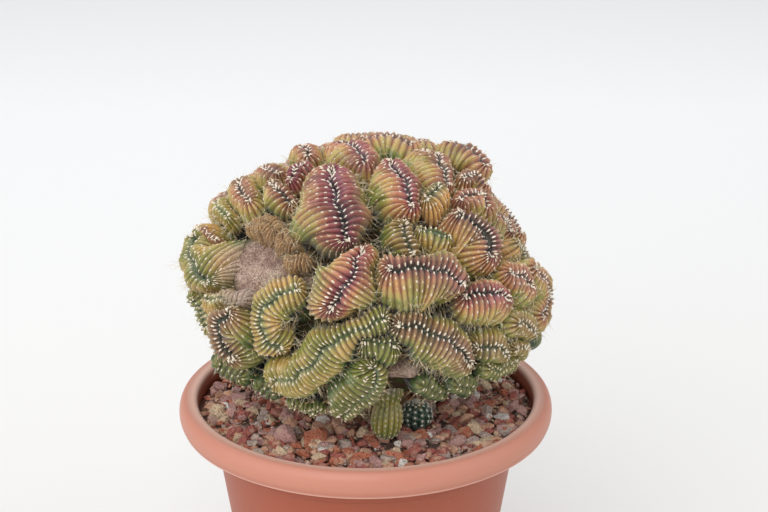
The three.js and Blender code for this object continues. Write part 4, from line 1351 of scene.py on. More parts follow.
class RibbedFinger:
    """The short stem that hangs in front: ribbed all round, with a slight waist."""

    TOP = np.array([8.3, -30.0, 119.5])
    BOTTOM = np.array([6.4, -31.5, 96.6])
    RADIUS = 4.9
    RIBS = 15
    SAMPLES = 6
    ROWS = 60
    RELIEF = 0.6
    AREOLE_STEP = 4
    KNOB_PITCH = 2.0
    ROW_POWER = 1.1
    SOFTENING = (0.1, 0.2, 0.4, 0.2, 0.1)
    FOOT = 0.15
    NARROW_RELIEF = 1.4
    # The skin's age swings about a middle value, with a wave in millimetres for each radian.
    AGE = (1.8, 0.4, 3.1)
    POLE_AGE = 1.5
    TAN_FROM = 16
    TAN_SPAN = 4
    TAN_TURN = 0.4
    # An areole's distance from the groove in millimetres and in shares, its cork and its redness.
    AREOLE = (4.0, 0.6, 0.0, 0.0)
    # The section's radius, in shares, by height in shares: a body, a waist and a knob on top.
    SECTION = ((0.0, 0.0), (0.02, 0.42), (0.06, 0.68), (0.12, 0.89), (0.2, 1.0), (0.3, 1.0), (0.39, 0.93),
               (0.45, 0.8), (0.48, 0.69), (0.52, 0.76), (0.6, 0.92), (0.7, 0.9), (0.8, 0.7), (1.0, 0.5))

    def __init__(self) -> None:
        """Works the surface out, from the lower pole to the upper one."""
        self.axis = unit(self.TOP - self.BOTTOM)
        self.aside = unit(np.cross(self.axis, [0.0, 1.0, 0.0]))
        self.front = np.cross(self.axis, self.aside)
        length = float(np.linalg.norm(self.TOP - self.BOTTOM)) + self.RADIUS
        run = np.linspace(0.0, 1.0, self.ROWS)
        height = length * run**self.ROW_POWER
        places, shares = zip(*self.SECTION)
        section = np.interp(height / length, places, shares)
        section = np.convolve(np.pad(section, 2, mode="edge"), self.SOFTENING, mode="valid")
        section[0] = self.FOOT
        turn, crown = rib_columns(self.RIBS, self.SAMPLES)
        beat = np.cos(height * math.tau / self.KNOB_PITCH)[:, None] * crown[None]
        shown = np.minimum(1, section * self.NARROW_RELIEF)[:, None]
        radius = self.RADIUS * section[:, None] + self.RELIEF * (crown[None] + KNOB_SHARE * beat) * shown
        way = self.aside * np.cos(turn)[:, None] + self.front * np.sin(turn)[:, None]
        spine = self.BOTTOM + self.axis * height[:, None]
        self.grid = spine[:, None] + way[None] * radius[..., None]
        self.height = height
        self.turn = turn

    def add_to(self, draft: Draft) -> None:
        """Adds the finger's surface to a piece."""
        rows, count = self.grid.shape[:2]
        run = np.repeat(self.height[:, None] / LobeSkin.AREOLE_PITCH, count, axis=1)
        spread = map_ribs(self.turn / math.tau * self.RIBS, self.SAMPLES, run)
        poles = np.stack([self.grid[0].mean(axis=0), self.grid[-1].mean(axis=0)])
        flat = np.full((count, 3, 2), 0.5)
        middle, swing, wave = self.AGE
        age = np.repeat(middle + swing * np.cos(self.height / wave), count)
        tan = smooth_step((self.height - self.TAN_FROM) / self.TAN_SPAN)[:, None]
        tan = tan * (0.5 + 0.5 * np.cos(self.turn - self.TAN_TURN))
        draft.add(
            np.vstack([self.grid.reshape(-1, 3), poles]),
            join_rows(rows, count),
            [spread, flat, flat],
            age=np.append(age, [self.POLE_AGE, self.POLE_AGE]),
            red=0.0,
            warm=0.1,
            # a little painted shade on the hanging finger
            dark=0.1,
            cork=np.append(tan.ravel(), [0, 0]),
        )

    def areoles(self) -> dict[str, Array]:
        """Places the areoles down the finger's ribs, in the same form as a lobe's."""
        columns = np.arange(self.SAMPLES // 2, len(self.turn), self.SAMPLES)
        rows = np.arange(2, self.ROWS - 4, self.AREOLE_STEP)
        found = []
        for order, column in enumerate(columns):
            for row in rows + (order % 2) * 2:
                spot = self.grid[row, column]
                down = unit(self.grid[row - 1, column] - self.grid[row + 1, column])
                aside = unit(self.grid[row, column - 1] - self.grid[row, column + 1])
                out = unit(np.cross(down, aside))
                found.append(np.concatenate([spot, out, down, aside, self.AREOLE]))
        return split_table(np.array(found))


def split_table(table: Array) -> dict[str, Array]:
    """Names the columns of a table of areoles, the first four of which are three wide."""
    wide = [table[:, start : start + 3] for start in (0, 3, 6, 9)]
    names = ("spot", "out", "down", "aside", "run", "share", "cork", "red")
    return dict(zip(names, [*wide, *table[:, 12:].T]))


class CorkCore:
    """The old flesh under the lobes, raised into a corked saddle where no lobe covers it."""

    ROWS = 100
    COLUMNS = 200
    DEPTH = 15.0
    SLOPE = ((-54.0, -7.5), (-46.0, -9.5), (-36.0, -10.5), (-24.0, -11.5))
    SPREAD = 1.3
    BARE = 0.85
    GRAIN = 0.35
    GRAIN_SIZE = 0.9
    LUMP = 0.4
    LUMP_SIZE = 3.0
    ROUGH_LUMP = 1.2
    STUB_LUMP = 0.8
    # The saddle's height follows a slanted azimuth. Its crevice and its rough top start at latitudes
    # that fall towards the right. Places and spans are in degrees.
    SLOPE_MIDDLE = 26
    SLOPE_SLANT = 0.5
    FALL = 0.35
    FALL_FROM = 37
    CREVICE_FROM = 32
    CREVICE_SPAN = 6
    ROUGH_FROM = 37
    ROUGH_SPAN = 5
    CREVICE = 3.5
    STUB_PLACE = (12.0, -12.5)
    STUB_SPREAD = (11.0, 5.5)
    STUB_RISE = 7.8

    def add_to(self, draft: Draft) -> None:
        """Adds the core's surface to a piece."""
        latitude = np.linspace(-math.pi / 2, math.pi / 2, self.ROWS + 2)[1:-1]
        azimuth = np.arange(self.COLUMNS) * math.tau / self.COLUMNS
        way = np.vstack([bearings(latitude, azimuth).reshape(-1, 3), [0, 0, -1], [0, 0, 1]])
        points = way * HULL.core + HULL.centre
        out = unit(way / HULL.core)
        degrees, high = HULL.bearing(points)
        saddle = HULL.saddle(points, self.SPREAD)
        places, lifts = zip(*self.SLOPE)
        slope = np.interp(degrees + self.SLOPE_SLANT * (high - self.SLOPE_MIDDLE), places, lifts)
        fall = (degrees + self.FALL_FROM) * self.FALL
        crevice = smooth_step((high - self.CREVICE_FROM + fall) / self.CREVICE_SPAN)
        slope = self.DEPTH + slope - self.CREVICE * crevice
        stub = np.hypot(
            (degrees - self.STUB_PLACE[0]) / self.STUB_SPREAD[0],
            (high - self.STUB_PLACE[1]) / self.STUB_SPREAD[1],
        )
        stub = smooth_step((1 - stub) / 0.5)
        rough = smooth_step((high - self.ROUGH_FROM + fall) / self.ROUGH_SPAN)
        coarse = np.array([noise.fractal(Vector(p) / self.LUMP_SIZE, 0.8, 2.1, 4) for p in points])
        fine = np.array([noise.noise(Vector(p) / self.GRAIN_SIZE) for p in points])
        lift = saddle * (slope + self.LUMP * coarse + self.ROUGH_LUMP * rough * coarse + self.GRAIN * fine)
        lift = np.maximum(lift, stub * (self.STUB_RISE + self.STUB_LUMP * coarse))
        points = points + out * lift[:, None]
        # Outside the bare saddle and the stub, the cork finish paints the core dark with shade.
        bare = np.maximum(HULL.saddle(points, self.BARE), stub)
        draft.add(points, join_rows(self.ROWS, self.COLUMNS), cork=bare, rough=rough)


class Stem:
    """The old woody stem, from deep in the soil up into the core."""

    SIDES = 72
    SECTION = (
        (13.0, 62.0), (13.0, 80.0), (13.0, 92.0), (13.4, 96.0), (15.6, 100.0), (18.2, 104.0), (20.6, 108.0),
        (22.0, 112.0),
    )
    WRINKLE = 0.55
    WRINKLE_SIZE = 2.4
    WRINKLE_STRETCH = 0.35
    CORK = 0.9

    def build(self, material: Material) -> None:
        """Models the stem as a ring extruded upwards, then wrinkles it."""
        piece = extruded_rings("stem", self.SECTION, self.SIDES)
        bpy.ops.object.mode_set(mode="EDIT")
        bpy.ops.mesh.select_all(action="SELECT")
        bpy.ops.mesh.subdivide(number_cuts=1)
        bpy.ops.object.mode_set(mode="OBJECT")
        for vertex in piece.data.vertices:
            height = vertex.co.z * self.WRINKLE_STRETCH
            spot = Vector((vertex.co.x, vertex.co.y, height)) / (self.WRINKLE_SIZE * MM)
            way = Vector((vertex.co.x, vertex.co.y, 0.0))
            if way.length > MM:
                vertex.co += way.normalized() * noise.noise(spot) * self.WRINKLE * MM
        for key in ("cork", "rough"):
            attribute = piece.data.attributes.new(key, "FLOAT", "POINT")
            attribute.data.foreach_set("value", np.full(len(piece.data.vertices), self.CORK))
        bpy.ops.object.shade_smooth()
        piece.data.materials.append(material)
        finish_piece(piece)


def select_only(piece: Object) -> None:
    """Selects one object and makes it the active one."""
    bpy.ops.object.select_all(action="DESELECT")
    piece.select_set(True)
    bpy.context.view_layer.objects.active = piece


def extruded_rings(name: str, section: Sequence[Pair], sides: int) -> Object:
    """Models a round body by extruding and scaling one ring, and closes both ends.

    Args:
        name: The piece's name.
        section: The radius and height of each ring in millimetres, in order.
        sides: How many sides a ring has.

    Returns:
        The body, selected and active, in object mode.
    """
    bpy.ops.object.select_all(action="DESELECT")
    radius, height = section[0]
    bpy.ops.mesh.primitive_circle_add(
        vertices=sides, radius=radius * MM, fill_type="NOTHING", location=(0, 0, height * MM)
    )
    piece = bpy.context.active_object
    piece.name = name
    piece.data.name = name
    bpy.ops.object.mode_set(mode="EDIT")
    bpy.ops.mesh.select_all(action="SELECT")
    bpy.ops.mesh.edge_face_add()
    bpy.ops.mesh.select_mode(type="EDGE")
    for wider, higher in section[1:]:
        bpy.ops.mesh.extrude_region_move(TRANSFORM_OT_translate={"value": (0, 0, (higher - height) * MM)})
        share = wider / radius
        bpy.ops.transform.resize(value=(share, share, 1), center_override=(0, 0, higher * MM))
        radius, height = wider, higher
    bpy.ops.mesh.select_mode(type="VERT")
    bpy.ops.mesh.select_all(action="SELECT")
    bpy.ops.mesh.normals_make_consistent(inside=False)
    bpy.ops.object.mode_set(mode="OBJECT")
    bpy.ops.object.transform_apply(location=True, rotation=True, scale=True)
    return piece


class Fleece:
    """The areoles' wool and spines over the whole plant."""

    # A pad has two square rings and a tip at each end of its length.
    PAD = (
        np.array(
            [(0, -1, 0),
             (0.9, -0.5, 0), (0, -0.5, 0.9), (-0.9, -0.5, 0), (0, -0.5, -0.9),
             (0.9, 0.5, 0), (0, 0.5, 0.9), (-0.9, 0.5, 0), (0, 0.5, -0.9),
             (0, 1, 0)], float
        ),
        np.array(
            [(0, 1, 4), (0, 4, 3), (0, 3, 2), (0, 2, 1),
             (1, 5, 8), (1, 8, 4), (4, 8, 7), (4, 7, 3), (3, 7, 6), (3, 6, 2), (2, 6, 5), (2, 5, 1),
             (9, 8, 5), (9, 7, 8), (9, 6, 7), (9, 5, 6)]
        ),
    )
    NEEDLE = (
        np.array([(1, 0, 0), (-0.5, 0.87, 0), (-0.5, -0.87, 0), (0, 0, 1)], float),
        np.array([(0, 1, 3), (1, 2, 3), (2, 0, 3), (2, 1, 0)]),
    )
    # For young, old and bark skin: the rounds of draws and their chance, the least and the greatest
    # length, the lift from the skin and the thickness from the middle.
    SPINES = ((2, 0.4, 0.9, 2.1, 0.55, 0.055), (4, 0.75, 2.0, 6.0, 0.9, 0.06), (3, 0.5, 1.5, 4.8, 0.5, 0.05))
    BARK_FROM = 0.3
    OLD_FROM = 0.95
    YOUNG_FROM = 0.15
    DROOP = (-0.7, 0.9)
    SWAY = 0.75
    # A pad's half width, length and height in millimetres, and what youth adds to them. Redness adds
    # to a young pad's length, and age takes from it. Its whiteness goes the same way.
    PAD_SIZE = (0.27, 0.56, 0.26)
    YOUNG_SIZE = (0.04, 0.08, 0.06)
    RED_LENGTH = 0.2
    OLD_LENGTH = 0.14
    WHITE = 0.38
    YOUNG_WHITE = 0.18
    RED_WHITE = 0.28
    OLD_WHITE = 0.4
    UNEVEN_WHITE = 0.9
    SEED = 91
    SUNK = 0.1

    def __init__(self, tables: Sequence[dict[str, Array]], cover: BVHTree) -> None:
        """Gathers the areoles that show.

        Args:
            tables: The areoles of each lobe.
            cover: The plant's surface, which hides the areoles inside it.
        """
        self.random = np.random.default_rng(self.SEED)
        joined = {key: np.concatenate([table[key] for table in tables]) for key in tables[0]}
        centre = Vector(HULL.centre)
        shown = []
        for spot, out in zip(joined["spot"], joined["out"]):
            start = Vector(spot) + Vector(out) * 0.5
            buried = self._is_buried(cover, start, (start - centre).normalized())
            shown.append(not buried)
        self.table = {key: values[np.array(shown)] for key, values in joined.items()}

    @staticmethod
    def _is_buried(cover: BVHTree, start: Vector, way: Vector) -> bool:
        """Tells whether a point lies inside a closed surface, by the faces on its way out."""
        depth = 0
        for _ in range(8):
            place, normal, _, _ = cover.ray_cast(start, way)
            if place is None:
                break
            depth += 1 if normal.dot(way) > 0 else -1
            start = place + way * 0.02
        return depth > 0

    def wool(self) -> Draft:
        """Makes the wool pads, longer and whiter by the groove."""
        table = {key: values[self.table["cork"] < 0.5] for key, values in self.table.items()}
        count = len(table["spot"])
        young = smooth_step((0.5 - table["share"]) / 0.4)
        old = smooth_step((table["share"] - 0.8) / 0.5)
        red = table["red"]
        vary = 0.8 + 0.4 * self.random.random((count, 3))
        (wide, long, high), (wider, longer, higher) = self.PAD_SIZE, self.YOUNG_SIZE
        length = long + (longer + self.RED_LENGTH * red) * young - self.OLD_LENGTH * old
        sizes = np.column_stack([wide + wider * young, length, high + higher * young])
        axes = np.stack([table["aside"], table["down"], table["out"]], axis=1)
        points, faces = scatter(self.PAD, table["spot"], axes, sizes * vary)
        white = self.WHITE + (self.YOUNG_WHITE + self.RED_WHITE * red) * young - self.OLD_WHITE * old
        pale = np.clip(white + self.UNEVEN_WHITE * (vary[:, 0] - 1), 0, 1)
        draft = Draft()
        draft.add(points, [faces], pale=np.repeat(pale, len(self.PAD[0])))
        return draft

    def spines(self) -> Draft:
        """Makes the spines: short and pressed on the young skin, long and loose in the gaps."""
        draft = Draft()
        table = self.table
        bark = table["cork"] > self.BARK_FROM
        old = ~bark & (table["share"] > self.OLD_FROM)
        young = ~old & ~bark & (table["share"] > self.YOUNG_FROM)
        for chosen, (copies, often, low, high, rise, thick) in zip((young, old, bark), self.SPINES):
            for _ in range(copies):
                picked = chosen & (self.random.random(len(chosen)) < often)
                out, down, aside = (table[key][picked] for key in ("out", "down", "aside"))
                count = len(out)
                droop = self.random.uniform(*self.DROOP, (count, 1))
                sway = self.random.uniform(-self.SWAY, self.SWAY, (count, 1))
                way = unit(out * rise + down * droop + aside * sway)
                axes = needle_axes(way, aside + 0.01)
                length = self.random.uniform(low, high, count)
                sizes = np.column_stack([np.full(count, thick), np.full(count, thick), length])
                spot = table["spot"][picked] - out * self.SUNK
                points, faces = scatter(self.NEEDLE, spot, axes, sizes)
                draft.add(points, [faces])
        return draft


class CrestedPlant:
    """The crested cactus: lobes, corked core, stem, finger, areoles and spines."""

    SEED = 300

    def build(self) -> None:
        """Builds the plant's pieces."""
        lines = [GrowingLine(lobe, self.SEED + order) for order, lobe in enumerate(LOBES)]
        packing = Packing(lines)
        skins = [LobeSkin(line, packing) for line in lines]
        finger = RibbedFinger()
        waxy = WaxySkin().material()
        for region in Region:
            draft = Draft()
            for skin in skins:
                if Region.of(skin.lobe) is region:
                    skin.add_to(draft)
            replaced = "crested_cactus" if region is Region.CROWN else ""
            finish_piece(draft.make(region.value, waxy), replaced)
        hanging = Draft()
        finger.add_to(hanging)
        finish_piece(hanging.make("hanging_finger", waxy))
        bark = CorkBark().material()
        core = Draft()
        CorkCore().add_to(core)
        finish_piece(core.make("cork_core", bark))
        Stem().build(bark)
        tables = [skin.areoles() for skin in skins] + [finger.areoles()]
        fleece = Fleece(tables, self._cover(skins))
        finish_piece(fleece.wool().make("areole_wool", AreoleWool().material()))
        spines = fleece.spines().make("spines", SpineHorn().material(), smooth=False)
        finish_piece(spines)

    @staticmethod
    def _cover(skins: Sequence[LobeSkin]) -> BVHTree:
        """Gathers the plant's surface in millimetres, to find what lies inside it."""
        whole = Draft()
        for skin in skins:
            skin.add_to(whole)
        CorkCore().add_to(whole)
        points = np.concatenate(whole.points).tolist()
        faces = [face for group in whole.faces for face in group.tolist()]
        return BVHTree.FromPolygons(points, faces)


class Offset:
    """The small globular offset that stands in the gravel beside the stem."""

    CENTRE = np.array([17.3, -17.0, 98.6])
    RADIUS = 5.1
    RIBS = 13
    SAMPLES = 6
    ROWS = 36
    # The rows run from near the top pole to under the middle, in shares of a right angle.
    SPAN = (0.985, -0.66)
    BEATS = 13
    STALK_RADIUS = 2.6
    STALK_BOTTOM = 82.0
    RELIEF = 0.55
    TUFT = (0.42, 0.42, 0.3)
    RAYS = 7
    RAY = (0.075, 0.075, 1.3)
    RAY_RISE = 0.55

    def build(self) -> None:
        """Builds the offset's body, wool and spines."""
        latitude = np.linspace(*(math.pi / 2 * share for share in self.SPAN), self.ROWS)
        turn, crown = rib_columns(self.RIBS, self.SAMPLES)
        beat = np.cos(latitude[:, None] * self.BEATS + turn[None] * self.RIBS / 2)
        knob = crown[None] + KNOB_SHARE * beat
        radius = self.RADIUS + self.RELIEF * knob * np.cos(latitude)[:, None]
        way = bearings(latitude, turn + math.pi / 2)
        globe = self.CENTRE + way * radius[..., None]
        stalk = np.broadcast_to(way[-1:], way[:2].shape) * [1, 1, 0]
        stalk = self.CENTRE * [1, 1, 0] + unit(stalk) * self.STALK_RADIUS
        stalk[0, :, 2] = globe[-1, :, 2].mean() - 1.0
        stalk[1, :, 2] = self.STALK_BOTTOM
        grid = np.concatenate([globe, stalk])
        rows, count = grid.shape[:2]
        poles = np.stack([self.CENTRE + [0, 0, self.RADIUS], [*self.CENTRE[:2], self.STALK_BOTTOM]])
        ribs = turn / math.tau * self.RIBS
        spread = map_ribs(ribs, self.SAMPLES, np.zeros((rows, count)), falling=True)
        flat = np.full((count, 3, 2), 0.5)
        draft = Draft()
        draft.add(
            np.vstack([grid.reshape(-1, 3), poles]),
            join_rows(rows, count, falling=True),
            [spread, flat, flat],
            age=1.5,
            red=0.0,
            warm=0.0,
            dark=0.0,
            cork=0.0,
        )
        young = WaxySkin(
            name="young_waxy_skin",
            green_run=((0.0, "#14352a"), (0.5, "#1e4a38"), (0.62, "#2b5a3c"), (1.0, "#16382b")),
            # Paler painted shade in the offset's rib valleys.
            valley_shade="#7c8a80",
        )
        finish_piece(draft.make("offset_body", young.material()), "offset_pup")
        self._dress(globe)

    def _dress(self, globe: Array) -> None:
        """Sets wool and short spines on the globe's knobs."""
        spots, outs = [], []
        for rib in range(self.RIBS):
            column = rib * self.SAMPLES + self.SAMPLES // 2
            for row in range(1 + (rib % 2) * 2, self.ROWS - 8, 5):
                spots.append(globe[row, column])
                outs.append(unit(globe[row, column] - self.CENTRE))
        out = np.array(outs)
        aside = unit(np.cross(out, [0.0, 0.0, 1.0]))
        down = np.cross(aside, out)
        axes = np.stack([aside, down, out], axis=1)
        count = len(out)
        wool = Draft()
        points, faces = scatter(Fleece.PAD, np.array(spots), axes, np.tile(self.TUFT, (count, 1)))
        wool.add(points, [faces], pale=0.9)
        finish_piece(wool.make("offset_wool", AreoleWool().material()))
        stars = Draft()
        for ray in range(self.RAYS):
            angle = math.tau * ray / self.RAYS + 0.3 * np.sin(np.arange(count) * 2.4 + ray)
            way = aside * np.cos(angle)[:, None] + down * np.sin(angle)[:, None]
            way = unit(way + out * self.RAY_RISE)
            sizes = np.tile(self.RAY, (count, 1))
            points, faces = scatter(Fleece.NEEDLE, np.array(spots), needle_axes(way, out), sizes)
            stars.add(points, [faces])
        white = SpineHorn(straw="#e6dfcc", white="#fbf8f0")
        finish_piece(stars.make("offset_spines", white.material(), smooth=False))


@dataclass(frozen=True)
class Heap:
    """One size of gravel: how many stones, their radii in millimetres and how high they lie."""

    name: str
    count: int
    smallest: float
    largest: float
    rise: float


class SoilBed:
    """The substrate in the pot: a crumbly bed, crushed lava on it and finer grit between."""

    TOP_RADIUS = 57.6
    EDGE = 92.6
    MOUND = 1.6
    SIDE = ((36.6, 2.95), (49.5, 83.4), (51.7, 84.6), (51.7, 88.4))
    STEM_RADIUS = 13.0
    STEM_CLEARANCE = 3.0
    LARGE_COUNT = 112
    LARGE_KINDS = 0.7
    SEED = 41
    HEAPS = (Heap("gravel_small", 900, 1.4, 3.6, 0.4), Heap("gravel_grit", 2300, 0.5, 1.3, 0.5))
    # The large stones that the view in front shows: place, radius and kind of stone.
    MARKED = (
        (-27.2, -28.0, 6.4, 0.45), (-16.5, -29.5, 6.0, 0.1), (30.5, -32.5, 5.0, 0.5),
        (3.9, -46.6, 5.0, 0.48), (36.5, -8.0, 3.6, 0.3), (-33.1, -12.0, 3.4, 0.75),
        (-16.7, -50.0, 2.2, 0.97), (3.9, -53.0, 2.4, 0.97), (12.0, -45.0, 3.2, 0.05),
        (22.0, -24.0, 2.9, 0.42), (-6.0, -42.0, 3.3, 0.62), (-40.0, -22.0, 3.6, 0.2),
        (-46.0, -8.0, 3.8, 0.4), (-30.0, -40.0, 3.4, 0.62), (-10.0, -36.0, 3.0, 0.08),
        (16.0, -38.0, 3.7, 0.25), (24.0, -44.0, 3.2, 0.6), (41.0, -26.0, 4.0, 0.93),
        (47.0, -12.0, 4.2, 0.96), (38.0, -36.0, 3.0, 0.12),
    )
    RING = (13.5, 57.0)
    BANK_FROM = 48.0
    BANK_WIDTH = 9.0
    BANK_RISE = 1.8
    LARGE_RISE = 0.42
    TIP_RADIUS = 1.5
    TIP_SHARE = 0.6

    def height(self, radius: Array) -> Array:
        """Finds the bed's height at a distance from the pot's axis."""
        share = np.minimum(1, radius / self.TOP_RADIUS)
        return self.EDGE + self.MOUND * (1 - share**2)

    def build(self) -> None:
        """Builds the bed and its stones."""
        material = CrushedLava().material()
        self._bed(material)
        chips = [chip(seed, 7, 1) for seed in range(10)]
        big_chips = [chip(50 + seed, 9, 1) for seed in range(8)]
        random = np.random.default_rng(self.SEED)
        large = np.array([*self._large_stones(), *self.MARKED])
        large = np.array([row for row in large if self._fits(*row[:3])])
        rise = self.height(np.hypot(large[:, 0], large[:, 1])) + self.LARGE_RISE * large[:, 2]
        self._stones("gravel_large", big_chips, large, rise, random, material)
        for heap in self.HEAPS:
            rows = []
            while len(rows) < heap.count:
                radius = math.sqrt(random.uniform(*(limit**2 for limit in self.RING)))
                turn = random.uniform(0, math.tau)
                size = heap.smallest + (heap.largest - heap.smallest) * random.random() ** 1.2
                x, y = radius * math.cos(turn), radius * math.sin(turn)
                if radius + size < self.TOP_RADIUS + 0.8 and self._fits(x, y, size):
                    rows.append((x, y, size, random.random()))
            small = np.array(rows)
            rise = self.height(np.hypot(small[:, 0], small[:, 1])) + heap.rise * small[:, 2]
            rise += random.uniform(0.0, 0.6, len(small))
            bank = (np.hypot(small[:, 0], small[:, 1]) - self.BANK_FROM) / self.BANK_WIDTH
            rise += self.BANK_RISE * smooth_step(bank) * random.random(len(small))
            self._stones(heap.name, chips, small, rise, random, material)

    def _fits(self, x: float, y: float, size: float) -> bool:
        """Tells whether a stone fits beside the offset's stalk and the finger's tip."""
        return self._is_clear(x, y, Offset.STALK_RADIUS + size, self.TIP_RADIUS + size * self.TIP_SHARE)

    @staticmethod
    def _is_clear(x: float, y: float, offset_room: float, finger_room: float) -> bool:
        """Tells whether a place is farther than so much from the offset and from the finger."""
        to_offset = math.hypot(x - Offset.CENTRE[0], y - Offset.CENTRE[1])
        to_finger = math.hypot(x - RibbedFinger.BOTTOM[0], y - RibbedFinger.BOTTOM[1])
        return to_offset > offset_room and to_finger > finger_room

    def _large_stones(self) -> list[tuple[float, float, float, float]]:
        """Places the large stones in a sunflower pattern, as the part's solid has them."""
        stream = random_stream(self.SEED)
        golden = math.pi * (3 - math.sqrt(5))
        inner = self.STEM_RADIUS + self.STEM_CLEARANCE
        rows = []
        for order in range(self.LARGE_COUNT):
            size = 2.3 + 2.4 * next(stream) * next(stream)
            share = math.sqrt((order + 0.5) / self.LARGE_COUNT)
            spread = inner + (self.TOP_RADIUS - inner) * share
            radius = min(self.TOP_RADIUS - size * 1.2, spread + 0.8 * (next(stream) - 0.5))
            turn = order * golden + 0.1 * next(stream)
            x, y = radius * math.cos(turn), radius * math.sin(turn)
            if self._is_clear(x, y, Offset.RADIUS + size, RibbedFinger.RADIUS + size):
                kind = [next(stream) for _ in range(6)][5]
                rows.append((x, y, size, self.LARGE_KINDS * kind))
        return rows

    def _stones(
        self,
        name: str,
        chips: Sequence[tuple[Array, Array]],
        rows: Array,
        rise: Array,
        random: np.random.Generator,
        material: Material,
    ) -> None:
        """Makes one piece of many stones.

        Args:
            name: The piece's name.
            chips: The stones' shapes.
            rows: Each stone's x, y, size and kind.
            rise: Each stone's height.
            random: The source of turns and stretches.
            material: The stones' finish.
        """
        draft = Draft()
        shape = random.integers(0, len(chips), len(rows))
        for order, (points, faces) in enumerate(chips):
            chosen = rows[shape == order]
            if len(chosen):
                count = len(chosen)
                spots = np.column_stack([chosen[:, :2], rise[shape == order]])
                axes = np.array([tilted_axes(random) for _ in range(count)])
                stretch = random.uniform(0.8, 1.2, (count, 3)) * [1, 1, 0.72]
                moved, turned = scatter((points, faces), spots, axes, stretch * chosen[:, 2:3])
                draft.add(moved, [turned], kind=np.repeat(chosen[:, 3], len(points)))
        finish_piece(draft.make(name, material, smooth=False))

    def _bed(self, material: Material) -> None:
        """Makes the bed itself, which stands for the part's solid soil."""
        columns = 160
        turn = np.arange(columns) * math.tau / columns
        radii = np.linspace(self.TOP_RADIUS, 1.0, 48)
        section = [*self.SIDE, *((r, float(self.height(np.array(r)))) for r in radii)]
        rows = []
        for radius, height in section:
            ring = np.column_stack([radius * np.cos(turn), radius * np.sin(turn), np.full(columns, height)])
            if height > 90:
                ring[:, 2] += [0.5 * noise.noise(Vector(p) / 1.6) - 0.2 for p in ring]
            rows.append(ring)
        poles = np.array([(0, 0, section[0][1]), (0, 0, section[-1][1])])
        draft = Draft()
        # The bed is the last, darkest kind: its own brown and painted shade between the stones.
        draft.add(np.vstack([*rows, poles]), join_rows(len(rows), columns), kind=1.0)
        finish_piece(draft.make("soil_bed", material), "soil")


def tilted_axes(random: np.random.Generator) -> Array:
    """Turns a stone at random about the vertical, and tips it a little."""
    turn, tip, roll = random.uniform(0, math.tau), *random.uniform(-0.5, 0.5, 2)
    across = np.array([math.cos(turn), math.sin(turn), tip])
    ahead = np.array([-math.sin(turn), math.cos(turn), roll])
    across = unit(across)
    up = unit(np.cross(across, ahead))
    return np.array([across, np.cross(up, across), up])


def chip(seed: int, cuts: int, detail: int) -> tuple[Array, Array]:
    """Models a crushed stone: a ball whose sides are cut off flat.

    Args:
        seed: The seed of its cuts.
        cuts: How many sides are cut off.
        detail: The fineness of the ball.

    Returns:
        Its points, about 1 from its middle, and its triangles.
    """
    random = np.random.default_rng(seed)
    bpy.ops.object.select_all(action="DESELECT")
    bpy.ops.mesh.primitive_ico_sphere_add(subdivisions=detail, radius=1.0)
    piece = bpy.context.active_object
    bpy.ops.object.mode_set(mode="EDIT")
    for _ in range(cuts):
        normal = unit(random.normal(size=3))
        bpy.ops.mesh.select_all(action="SELECT")
        bpy.ops.mesh.bisect(
            plane_co=tuple(normal * random.uniform(0.36, 0.62)),
            plane_no=tuple(normal),
            use_fill=True,
            clear_outer=True,
        )
    bpy.ops.mesh.select_all(action="SELECT")
    bpy.ops.mesh.remove_doubles(threshold=0.08)
    bpy.ops.mesh.quads_convert_to_tris()
    bpy.ops.object.mode_set(mode="OBJECT")
    mesh = piece.data
    points = np.array([vertex.co for vertex in mesh.vertices])
    mesh.calc_loop_triangles()
    faces = np.array([tuple(triangle.vertices) for triangle in mesh.loop_triangles])
    bpy.data.objects.remove(piece)
    bpy.data.meshes.remove(mesh)
    return points, faces


